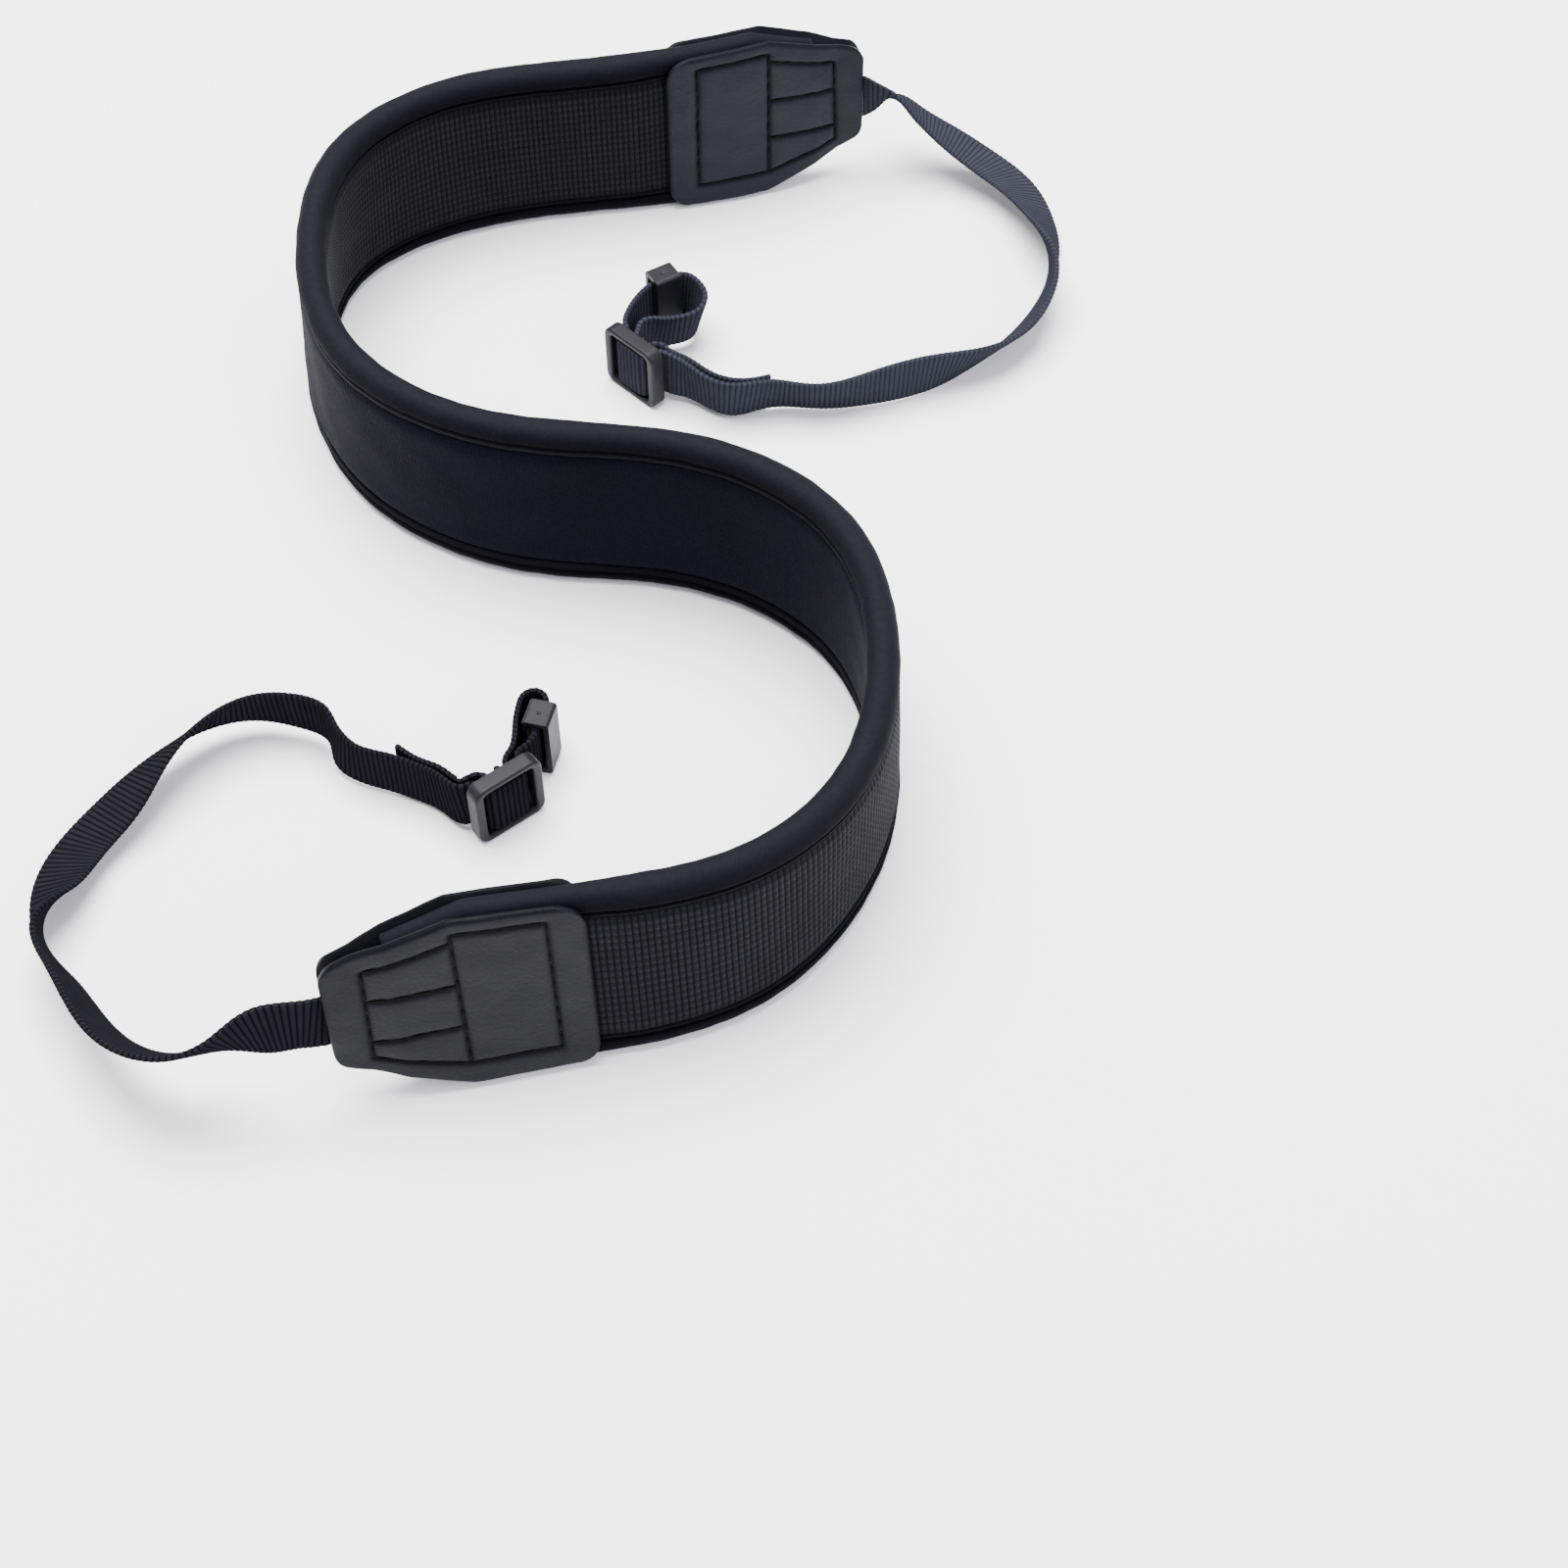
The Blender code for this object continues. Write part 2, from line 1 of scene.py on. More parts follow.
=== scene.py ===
"""Camera neck strap: padded neck band, imitation leather patches, webbing ends with their hardware.

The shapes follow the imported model.  Lengths are in millimetres until shifted() turns them to
metres, which the studio uses, and angles are in degrees.  Distances run along the band or the
webbing, "up" runs up the band from its lower edge and "out" leaves its middle layer, positive on
the ribbed face and negative on the smooth one.
"""
import math

import bmesh
import bpy
import numpy as np
from mathutils import Matrix, Vector, noise


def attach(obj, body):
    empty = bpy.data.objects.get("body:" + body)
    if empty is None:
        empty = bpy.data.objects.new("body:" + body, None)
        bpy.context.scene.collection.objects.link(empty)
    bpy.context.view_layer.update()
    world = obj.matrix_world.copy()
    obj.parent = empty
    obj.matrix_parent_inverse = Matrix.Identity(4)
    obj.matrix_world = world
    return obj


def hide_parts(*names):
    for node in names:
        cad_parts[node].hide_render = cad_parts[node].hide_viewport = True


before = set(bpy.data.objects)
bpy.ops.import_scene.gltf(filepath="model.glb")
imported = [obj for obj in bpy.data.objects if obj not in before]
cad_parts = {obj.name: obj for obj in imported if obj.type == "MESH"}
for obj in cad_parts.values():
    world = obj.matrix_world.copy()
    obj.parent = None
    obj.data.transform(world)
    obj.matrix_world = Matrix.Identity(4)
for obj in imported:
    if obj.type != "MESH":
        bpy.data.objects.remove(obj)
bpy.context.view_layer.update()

MM = 0.001
GAP = 0.3                  # room between one layer and the next
BOX_MIDDLE = (-0.96, -1.82)     # middle of the strap's outline on the floor
WAVE = math.tau / 20       # scale at which a wave texture has one band in each unit of length

# --- studio, in metres -----------------------------------------------------------------------
CAMERA_LENS = 60.66        # in mm, on a sensor 36 mm wide
CAMERA_PLACE = (0.03396, -0.31918, 0.3566)
CAMERA_PITCH = 37.11       # up from looking straight down
FLOOR_REACH = 3.0          # from the middle of the floor to each side
AIR_STRENGTH = 1.15
# Each lamp's name, place, width, power in watts and tint; both face the middle of the floor.
LAMPS = (
    ("top_softbox", (-0.1, 0.2, 0.95), 0.9, 45.0, "#ffffff"),
    ("side_softbox", (0.7, -0.5, 0.7), 0.6, 8.0, "#f3f1ff"),
)

# --- band ------------------------------------------------------------------------------------
PAD_HEIGHT = 38.0
PAD_HALF = 2.75            # half its thickness
CORE_START = 10.4          # start of foam and bindings, in from a patch's narrow end
CROWN = 0.75               # swell of the foam on the smooth face
CROWN_REACH = 3.0          # way in from the binding over which it rises
CELL_HEIGHT = 0.3          # of the mesh's raised cells
MESH_SWELL = 0.25          # rise of the mesh beside the binding
RIB_PITCH = 1.05           # ribs of the mesh face along the band
RIB_ROWS = 18              # rows of cells up the mesh face
RIB_SAMPLES = 4            # points of the net along one rib
ROW_SAMPLES = 3            # and up one row

# --- binding ---------------------------------------------------------------------------------
BINDING_WALL = 1.0
BINDING_LEG = 5.2          # reach of each leg in from the edge
SEAM_FROM_EDGE = 3.9       # the seam that holds the binding, on the ribbed face
SMOOTH_SEAM = 3.3          # the same on the smooth face
SEAM_DEPTH = 0.5
SEAM_WIDTH = 0.28          # half the width of its groove
LIP_DEPTH = 0.3            # fall of the leg from the seam to its lip
SEAM_ROWS = (3.2, 3.5, 3.7, 3.9, 4.1, 4.3)     # ways in of the points near the seams
ROLL_ROWS = 15             # points round the roll

# --- patches ---------------------------------------------------------------------------------
PATCH_WALL = 1.0
PATCH_LENGTH = 40.4
PATCH_MIDDLE = 19.1        # height of their middle line up the band
PATCH_HALF_HEIGHT = 18.35
PATCH_NARROW_HALF = 10.4   # half height at the narrow end
PATCH_SLOPE = 0.385        # gain in half height for each millimetre from there
PATCH_END_ROUND = 3.0
PATCH_BACK_ROUND = 5.0
PATCH_FLOOR = 0.15         # least height of the leather above the floor
PATCH_A_START = -10.9      # places of the narrow ends along the band
PATCH_B_START = 397.6
GROOVE_DEPTH = 0.28        # the groove that the stitches pull
GROOVE_WIDTH = 0.5         # half its width
PANEL_SWELL = 0.24         # swell of the panels between the stitches
WEB_SWELL = 0.35           # swell of the leather over the webbing
RIM_ROUND = 0.9            # way in over which the rim turns down
RIM_FALL = 0.55            # how far it falls

# --- stitches --------------------------------------------------------------------------------
STITCH_PITCH = 3.2
STITCH_SHARE = (0.11, 0.89)     # where a stitch starts and ends in its pitch
STITCH_LIFT = 0.02         # its middle line above the leather
THREAD = 0.6

# --- webbing ---------------------------------------------------------------------------------
WEB_WIDTH = 10.4
WEB_HALF = 0.5             # half its thickness
WEB_EDGE = 0.45            # reach of its round edges
WEB_RIB = 0.95             # pitch of the ribs across it
WEB_RIB_SAMPLES = 4        # points of the net along one rib
WEB_LIFT = 0.1             # its least height above the floor
WEB_HELD = (9.8, 6.4, 3.4, 0.2)     # its first stations, in from a patch's narrow end
WEB_A_HEIGHT = 17.0        # its middle up the band there
WEB_B_HEIGHT = 17.8

# --- hardware --------------------------------------------------------------------------------
SLIDER_SIZE = (13.2, 3.0, 13.5)     # length, depth and height
SLIDER_WINDOW = (9.8, 11.0)         # length and height
SLIDER_CORNER = 2.1
SLIDER_EDGE = 0.42         # round edge
MIDDLE_BAR = 1.2           # diameter
MIDDLE_BAR_DEPTH = 3.3     # behind the slider's front
KEEPER_SIZE = (4.7, 5.2, 12.8)
KEEPER_WINDOW = (2.9, 11.0)
KEEPER_CORNER = 0.7
KEEPER_EDGE = 0.26
GATE_RADIUS = 0.5          # the dimple where the plastic flowed in
GATE_DEPTH = 0.22
HARDWARE_HEIGHT = 6.75     # middle of the sliders and keepers above the floor

# Middle line of the band on the floor: x, y and lean.
PAD_ROUTE = (
    (38.0, 105.5, 0.0),
    (16.5, 99.0, 2.0),
    (-6.5, 95.5, 4.5),
    (-32.0, 89.0, 4.0),
    (-52.0, 73.5, 7.0),
    (-54.5, 41.0, 4.0),
    (-41.5, 14.5, -1.0),
    (-14.5, -1.5, -1.5),
    (16.5, -6.0, -1.5),
    (43.0, -24.5, -1.5),
    (49.8, -53.5, -1.8),
    (42.0, -78.9, 0.1),
    (26.8, -95.1, -3.4),
    (4.6, -102.9, -6.6),
    (-27.5, -110.5, -10.5),
)
# A patch's inner face: distance from the narrow end, and out from the band's middle layer.
PATCH_INSIDE = (
    (0.0, 0.8),
    (5.4, 0.8),
    (10.4, 1.9),
    (19.4, 2.2),
    (35.4, 2.3),
    (40.4, 2.45),
    (46.4, 3.05),
)
# Stations of the webbings: x, y, height of the middle and lean.
WEB_A_RUN = (
    (51.1, 109.1, 17.1, 20.0),
    (54.4, 109.1, 17.0, 47.0),
    (60.1, 108.0, 13.3, 66.0),
    (66.6, 105.9, 9.0, 74.0),
    (73.4, 102.2, 6.1, 74.0),
    (79.2, 96.2, 5.2, 69.0),
    (82.8, 88.0, 5.4, 54.0),
    (84.8, 79.0, 5.9, 31.0),
    (85.1, 70.0, 5.6, -6.0),
    (82.5, 61.0, 5.1, -28.0),
    (77.4, 53.1, 4.6, -37.0),
    (69.5, 46.4, 5.0, -28.0),
    (59.8, 41.6, 5.6, -7.0),
    (49.5, 38.0, 5.6, -10.0),
    (38.9, 36.0, 5.3, -22.0),
    (29.8, 36.2, 5.7, -17.0),
    (23.0, 34.5, 6.0, -12.0),
    (18.1, 36.5, 6.4, -10.0),
    (14.4, 39.3, 6.6, -5.0),
)
WEB_A_LOOP = (
    (3.1, 48.8, 6.75, 0.0),
    (3.2, 51.6, 6.75, 0.0),
    (4.2, 54.6, 6.75, 0.0),
    (5.7, 57.5, 6.75, 0.0),
    (7.7, 59.9, 6.75, 0.0),
    (9.9, 61.3, 6.75, 0.0),
    (12.1, 62.6, 6.75, 0.0),
    (14.1, 62.6, 6.6, -4.0),
    (16.0, 60.7, 6.5, -8.0),
    (16.9, 57.6, 6.4, -14.0),
    (15.7, 54.6, 6.3, -18.0),
    (12.0, 52.8, 6.3, -18.0),
    (8.6, 51.6, 6.5, -12.0),
    (6.2, 49.6, 6.75, 0.0),
)
WEB_A_TAIL = (
    (11.5, 42.4, 6.4, 2.0),
    (14.9, 40.6, 6.3, 5.0),
    (18.6, 38.2, 6.0, 10.0),
    (22.9, 36.4, 5.6, 12.0),
    (26.4, 36.6, 5.5, 15.0),
    (29.9, 37.7, 5.4, 16.0),
)
WEB_B_RUN = (
    (-38.8, -110.2, 18.2, 8.0),
    (-45.3, -111.5, 18.4, 9.0),
    (-51.8, -113.2, 17.0, -23.0),
    (-60.3, -113.7, 14.4, -36.0),
    (-69.2, -109.2, 11.9, -33.0),
    (-75.3, -102.0, 10.0, -26.0),
    (-80.7, -94.0, 7.8, -19.0),
    (-85.7, -85.6, 6.0, 5.0),
    (-85.2, -76.0, 4.6, 60.0),
    (-82.6, -66.9, 3.4, 73.0),
    (-77.4, -59.5, 4.6, 70.0),
    (-71.7, -51.8, 7.0, 48.0),
    (-65.4, -44.9, 7.7, 32.0),
    (-57.4, -40.9, 7.6, 18.0),
    (-49.2, -41.3, 7.3, 6.0),
    (-43.9, -44.0, 7.0, 0.0),
    (-42.0, -48.0, 6.4, -6.0),
    (-38.4, -51.2, 5.9, 0.0),
    (-33.0, -53.1, 5.8, 0.0),
    (-28.0, -55.1, 5.8, 0.0),
    (-24.0, -57.5, 6.0, 0.0),
)
WEB_B_LOOP = (
    (-11.1, -53.6, 6.75, 0.0),
    (-9.8, -51.9, 6.75, 0.0),
    (-8.6, -49.8, 6.75, 0.0),
    (-7.7, -46.2, 6.75, 0.0),
    (-6.9, -43.3, 6.75, 0.0),
    (-7.4, -40.9, 6.6, 0.0),
    (-9.1, -39.9, 6.5, 0.0),
    (-10.7, -40.7, 6.5, 0.0),
    (-11.5, -43.0, 6.6, 0.0),
    (-11.8, -46.5, 6.75, 0.0),
    (-11.8, -49.9, 6.75, 0.0),
    (-12.25, -52.6, 6.75, 0.0),
)
WEB_B_TAIL = (
    (-19.5, -58.5, 6.1, 0.0),
    (-23.5, -56.0, 5.8, 0.0),
    (-27.1, -54.1, 5.6, 0.0),
    (-31.5, -51.0, 5.6, 0.0),
)
# The two ways over a slider's middle bar: distance along the slider, and depth behind its front.
WEAVE_OUTER = (
    (-5.8, 4.45),
    (-4.5, 4.0),
    (-4.0, 2.9),
    (-3.8, 1.5),
    (-3.0, 0.6),
    (-1.6, 0.3),
    (0.0, 0.25),
    (1.6, 0.3),
    (3.0, 0.6),
    (3.8, 1.5),
    (4.0, 2.9),
    (4.5, 4.0),
)
WEAVE_INNER = (
    (2.62, 4.96),
    (1.7, 3.2),
    (1.2, 2.1),
    (0.0, 1.68),
    (-1.2, 2.1),
    (-1.7, 3.2),
    (-2.62, 4.96),
)
# Places of the hardware: x, y and turn.
SLIDER_A = (3.8, 41.8, -44.4)
SLIDER_B = (-12.0, -60.2, 38.6)
KEEPER_A = (9.9, 61.3, -58.4)
KEEPER_B = (-7.8, -46.2, -13.4)

# Stitch lines of a patch: distance from the narrow end and height up the band, corner to corner.
PATCH_SEAMS = (
    ((34.6, 5.9), (34.6, 34.7)),
    ((34.6, 34.7), (20.4, 34.7)),
    ((20.4, 34.7), (20.4, 5.9)),
    ((20.4, 5.9), (34.6, 5.9)),
    ((20.4, 33.0), (6.5, 28.2)),
    ((6.5, 28.2), (5.9, 9.6)),
    ((5.9, 9.6), (20.4, 5.9)),
    ((6.3, 21.9), (20.4, 23.6)),
    ((6.0, 13.0), (20.4, 14.5)),
)


# --- camera, floor and light -------------------------------------------------------------------
def set_camera():
    """Stand the camera where the photograph was taken from."""
    data = bpy.data.cameras.new("camera")
    data.lens = CAMERA_LENS
    data.sensor_width = 36.0
    data.clip_start = 0.01
    data.clip_end = 20.0
    seen = bpy.data.objects.new("camera", data)
    seen.location = CAMERA_PLACE
    seen.rotation_euler = (math.radians(CAMERA_PITCH), 0.0, 0.0)
    bpy.context.scene.collection.objects.link(seen)
    bpy.context.scene.camera = seen


def hang_lamp(name, place, size, power, tint):
    """Hang one large soft lamp at place, facing the middle of the floor."""
    data = bpy.data.lights.new(name, "AREA")
    data.shape = "DISK"
    data.size = size
    data.energy = power
    data.color = colour(tint)[:3]
    lamp = bpy.data.objects.new(name, data)
    lamp.location = place
    lamp.rotation_euler = (-Vector(place)).to_track_quat("-Z", "Y").to_euler()
    bpy.context.scene.collection.objects.link(lamp)


def set_studio():
    """Lay the pale floor and light it softly from above, from the right and all round."""
    base = bmesh.new()
    bmesh.ops.create_grid(base, x_segments=8, y_segments=8, size=FLOOR_REACH)
    floor = add_piece("studio_floor", base, studio_paper())
    world = bpy.data.worlds.new("studio_air")
    world.use_nodes = True
    air = world.node_tree.nodes["Background"]
    air.inputs["Color"].default_value = colour("#f5f4fa")
    air.inputs["Strength"].default_value = AIR_STRENGTH
    bpy.context.scene.world = world
    for lamp in LAMPS:
        hang_lamp(*lamp)


# --- materials -----------------------------------------------------------------------------------
def colour(code):
    """Return the linear colour of an sRGB hex code."""
    parts = [int(code[i:i + 2], 16) / 255 for i in (1, 3, 5)]
    linear = [p / 12.92 if p <= 0.04045 else ((p + 0.055) / 1.055) ** 2.4 for p in parts]
    return (*linear, 1.0)


def add_node(tree, kind, settings=None, links=None):
    """Add a shader node with its settings, which are properties or sockets, and its links."""
    made = tree.nodes.new("ShaderNode" + kind)
    for name, value in (settings or {}).items():
        if isinstance(name, str) and hasattr(made, name):
            setattr(made, name, value)
        else:
            made.inputs[name].default_value = value
    for name, source in (links or {}).items():
        tree.links.new(source, made.inputs[name])
    return made


def new_material(name, **surface):
    """Return a material's node tree and its surface shader with the given socket values."""
    made = bpy.data.materials.new(name)
    made.use_nodes = True
    shader = made.node_tree.nodes["Principled BSDF"]
    for socket, value in surface.items():
        shader.inputs[socket.replace("_", " ")].default_value = value
    return made, made.node_tree, shader


def cloth_place(tree, pitch, turn=0.0):
    """Return coordinates on the cloth, turned in degrees, one unit for each pitch in mm."""
    cloth = add_node(tree, "UVMap", {"uv_map": "cloth"})
    place = add_node(tree, "Mapping", {"Scale": (1.0 / pitch, 1.0 / pitch, 1.0),
                                       "Rotation": (0.0, 0.0, math.radians(turn))},
                     {"Vector": cloth.outputs["UV"]})
    return place.outputs["Vector"]


def object_place(tree):
    """Return the place on the object in millimetres."""
    spot = add_node(tree, "TexCoord")
    place = add_node(tree, "Mapping", {"Scale": (1000.0, 1000.0, 1000.0)},
                     {"Vector": spot.outputs["Object"]})
    return place.outputs["Vector"]


def mix_colours(tree, factor, low, high):
    """Return a colour between two sRGB hex codes."""
    ramp = add_node(tree, "ValToRGB", None, {"Fac": factor})
    ramp.color_ramp.elements[0].color = colour(low)
    ramp.color_ramp.elements[1].color = colour(high)
    return ramp.outputs["Color"]


def painted_shade_and_cloud(tree, cloud, least):
    """Return how far a place stands up out of its grooves, with the painted shade that goes with
    it, dulled by a cloud down to least.
    """
    relief_and_painted_shade = add_node(tree, "Attribute", {"attribute_name": "relief_and_painted_shade"})
    dulled = add_node(tree, "MapRange", {"From Min": 0.3, "From Max": 0.7, "To Min": least},
                      {"Value": cloud})
    both = add_node(tree, "Math", {"operation": "MULTIPLY"},
                    {0: relief_and_painted_shade.outputs["Fac"], 1: dulled.outputs["Result"]})
    return both.outputs["Value"]


def dim_shine_in_painted_shade(tree, shader, raised):
    """Let a surface's shine fade with its painted shade, into its grooves and its other shaded
    parts.
    """
    level = shader.inputs["Specular IOR Level"]
    shine = add_node(tree, "MapRange", {"To Max": level.default_value}, {"Value": raised})
    tree.links.new(shine.outputs["Result"], level)


def neoprene_jersey():
    """Knitted jersey on neoprene: matt black, with fine wales and a faint soft nap."""
    made, tree, shader = new_material("neoprene_jersey", Roughness=0.8, Sheen_Weight=0.015,
                                      Sheen_Roughness=0.5, IOR=1.47, Specular_IOR_Level=0.04)
    shader.inputs["Sheen Tint"].default_value = colour("#8280a2")
    spot = object_place(tree)
    # Real wales are 0.35 mm apart; drawn at 0.7 mm so that they show.
    wales = add_node(tree, "TexWave", {"Scale": WAVE, "Distortion": 1.2, "Detail": 2.0},
                     {"Vector": cloth_place(tree, 0.7)})
    patchy = add_node(tree, "TexNoise", {"Scale": 0.05, "Detail": 5.0, "Roughness": 0.65},
                      {"Vector": spot})
    lint = add_node(tree, "TexNoise", {"Scale": 1.6, "Detail": 3.0}, {"Vector": spot})
    shade = add_node(tree, "Math", {"operation": "MULTIPLY"},
                     {0: patchy.outputs["Fac"], 1: lint.outputs["Fac"]})
    tree.links.new(mix_colours(tree, shade.outputs["Value"], "#040407", "#0d0d1a"),
                   shader.inputs["Base Color"])
    knit = add_node(tree, "Bump", {"Strength": 0.22, "Distance": 0.00012},
                    {"Height": wales.outputs["Fac"]})
    soft = add_node(tree, "Bump", {"Strength": 0.5, "Distance": 0.0003},
                    {"Height": lint.outputs["Fac"], "Normal": knit.outputs["Normal"]})
    tree.links.new(soft.outputs["Normal"], shader.inputs["Normal"])
    return made


def ribbed_mesh():
    """Ribbed polyester mesh: small raised cells with painted shade in the grooves between them."""
    made, tree, shader = new_material("ribbed_mesh", Roughness=0.65, Sheen_Weight=0.02, IOR=1.5,
                                      Specular_IOR_Level=0.06)
    threads = add_node(tree, "TexWave", {"Scale": WAVE, "bands_direction": "Y", "Distortion": 0.6},
                       {"Vector": cloth_place(tree, 0.42)})
    patchy = add_node(tree, "TexNoise", {"Scale": 0.12, "Detail": 4.0},
                      {"Vector": object_place(tree)})
    lit = painted_shade_and_cloud(tree, patchy.outputs["Fac"], 0.75)
    tree.links.new(mix_colours(tree, lit, "#09090c", "#141419"), shader.inputs["Base Color"])
    dim_shine_in_painted_shade(tree, shader, lit)
    bump = add_node(tree, "Bump", {"Strength": 0.4, "Distance": 0.0001},
                    {"Height": threads.outputs["Fac"]})
    tree.links.new(bump.outputs["Normal"], shader.inputs["Normal"])
    return made


def stretch_binding():
    """Stretch knit edge tape: soft black, fine slanting wales, with painted shade along its sunk
    seam and down the sides of its roll.
    """
    made, tree, shader = new_material("stretch_binding", Roughness=0.75, Sheen_Weight=0.025,
                                      Sheen_Roughness=0.4, IOR=1.48, Specular_IOR_Level=0.08)
    shader.inputs["Sheen Tint"].default_value = colour("#8a86a0")
    wales = add_node(tree, "TexWave", {"Scale": WAVE, "Distortion": 0.8, "Detail": 1.0},
                     {"Vector": cloth_place(tree, 0.6, 35)})
    lint = add_node(tree, "TexNoise", {"Scale": 1.2, "Detail": 4.0}, {"Vector": object_place(tree)})
    lit = painted_shade_and_cloud(tree, lint.outputs["Fac"], 0.82)
    tree.links.new(mix_colours(tree, lit, "#020203", "#0e0d14"), shader.inputs["Base Color"])
    dim_shine_in_painted_shade(tree, shader, lit)
    bump = add_node(tree, "Bump", {"Strength": 0.2, "Distance": 0.00012},
                    {"Height": wales.outputs["Fac"]})
    tree.links.new(bump.outputs["Normal"], shader.inputs["Normal"])
    return made


def imitation_leather(name, raised):
    """Pressed polyurethane leather: charcoal, pebbled grain, half gloss on its raised parts, with
    painted shade in its stitch grooves and along its rim.
    """
    made, tree, shader = new_material(name, Roughness=0.5, IOR=1.5, Specular_IOR_Level=0.12)
    spot = object_place(tree)
    # Real grain is about 0.5 mm wide; drawn at 0.75 mm so that it shows.
    grain = add_node(tree, "TexVoronoi", {"feature": "SMOOTH_F1", "Scale": 1.33, "Smoothness": 0.4},
                     {"Vector": spot})
    creases = add_node(tree, "TexNoise", {"Scale": 0.35, "Detail": 6.0, "Roughness": 0.6},
                       {"Vector": spot})
    lit = painted_shade_and_cloud(tree, creases.outputs["Fac"], 0.84)
    tree.links.new(mix_colours(tree, lit, "#020203", raised), shader.inputs["Base Color"])
    dim_shine_in_painted_shade(tree, shader, lit)
    gloss = add_node(tree, "MapRange", {"To Min": 0.42, "To Max": 0.62},
                     {"Value": creases.outputs["Fac"]})
    tree.links.new(gloss.outputs["Result"], shader.inputs["Roughness"])
    pebbles = add_node(tree, "Bump", {"Strength": 0.28, "Distance": 0.00016, "invert": True},
                       {"Height": grain.outputs["Distance"]})
    folds = add_node(tree, "Bump", {"Strength": 0.2, "Distance": 0.0003},
                     {"Height": creases.outputs["Fac"], "Normal": pebbles.outputs["Normal"]})
    tree.links.new(folds.outputs["Normal"], shader.inputs["Normal"])
    return made


def nylon_webbing(name, groove, rib):
    """Woven nylon tape: matt round cross ribs with painted shade between them, and fine threads
    along it.
    """
    made, tree, shader = new_material(name, Roughness=0.8, Specular_IOR_Level=0.0)
    threads = add_node(tree, "TexWave", {"Scale": WAVE, "bands_direction": "Y", "Distortion": 0.4},
                       {"Vector": cloth_place(tree, 0.55)})
    patchy = add_node(tree, "TexNoise", {"Scale": 0.3, "Detail": 4.0},
                      {"Vector": object_place(tree)})
    lit = painted_shade_and_cloud(tree, patchy.outputs["Fac"], 0.8)
    tree.links.new(mix_colours(tree, lit, groove, rib), shader.inputs["Base Color"])
    bump = add_node(tree, "Bump", {"Strength": 0.5, "Distance": 0.00012},
                    {"Height": threads.outputs["Fac"]})
    tree.links.new(bump.outputs["Normal"], shader.inputs["Normal"])
    return made


def bonded_thread():
    """Bonded polyester thread: near black and slightly glossy, with its twist."""
    made, tree, shader = new_material("bonded_thread", Roughness=0.5, IOR=1.5,
                                      Specular_IOR_Level=0.04)
    twist = add_node(tree, "TexWave", {"Scale": 1.2, "bands_direction": "DIAGONAL"},
                     {"Vector": object_place(tree)})
    tree.links.new(mix_colours(tree, twist.outputs["Fac"], "#010101", "#050506"),
                   shader.inputs["Base Color"])
    bump = add_node(tree, "Bump", {"Strength": 0.4, "Distance": 0.0001},
                    {"Height": twist.outputs["Fac"]})
    tree.links.new(bump.outputs["Normal"], shader.inputs["Normal"])
    return made


def moulded_acetal():
    """Moulded acetal: dark grey, satin, with the faint cloud and eroded skin of the mould."""
    made, tree, shader = new_material("moulded_acetal", Roughness=0.45, IOR=1.48,
                                      Specular_IOR_Level=0.14)
    spot = object_place(tree)
    cloud = add_node(tree, "TexNoise", {"Scale": 0.45, "Detail": 5.0}, {"Vector": spot})
    tree.links.new(mix_colours(tree, cloud.outputs["Fac"], "#0f0e12", "#1c1b20"),
                   shader.inputs["Base Color"])
    skin_grain = add_node(tree, "TexNoise", {"Scale": 5.0, "Detail": 2.0}, {"Vector": spot})
    gloss = add_node(tree, "MapRange", {"To Min": 0.36, "To Max": 0.56},
                     {"Value": cloud.outputs["Fac"]})
    tree.links.new(gloss.outputs["Result"], shader.inputs["Roughness"])
    bump = add_node(tree, "Bump", {"Strength": 0.25, "Distance": 0.00006},
                    {"Height": skin_grain.outputs["Fac"]})
    tree.links.new(bump.outputs["Normal"], shader.inputs["Normal"])
    return made


def studio_paper():
    """Seamless paper: pale and matt, with the faintest cloud."""
    made, tree, shader = new_material("studio_paper", Roughness=0.9, IOR=1.4)
    cloud = add_node(tree, "TexNoise", {"Scale": 0.01, "Detail": 3.0},
                     {"Vector": object_place(tree)})
    tree.links.new(mix_colours(tree, cloud.outputs["Fac"], "#f8f8f9", "#fdfdfd"),
                   shader.inputs["Base Color"])
    return made


# --- pieces ----------------------------------------------------------------------------------
def add_piece(name, shell, finish):
    """Turn a shell into a smooth named object with its finish."""
    mesh = bpy.data.meshes.new(name)
    for face in shell.faces:
        face.smooth = True
    shell.to_mesh(mesh)
    shell.free()
    mesh.materials.append(finish)
    made = bpy.data.objects.new(name, mesh)
    bpy.context.scene.collection.objects.link(made)
    return made


def dress(piece, slot, *nodes):
    """Let a piece ride with the strap in place of its nodes; its slot is not used."""
    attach(piece, "root")
    if nodes:
        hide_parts(*nodes)
    return piece


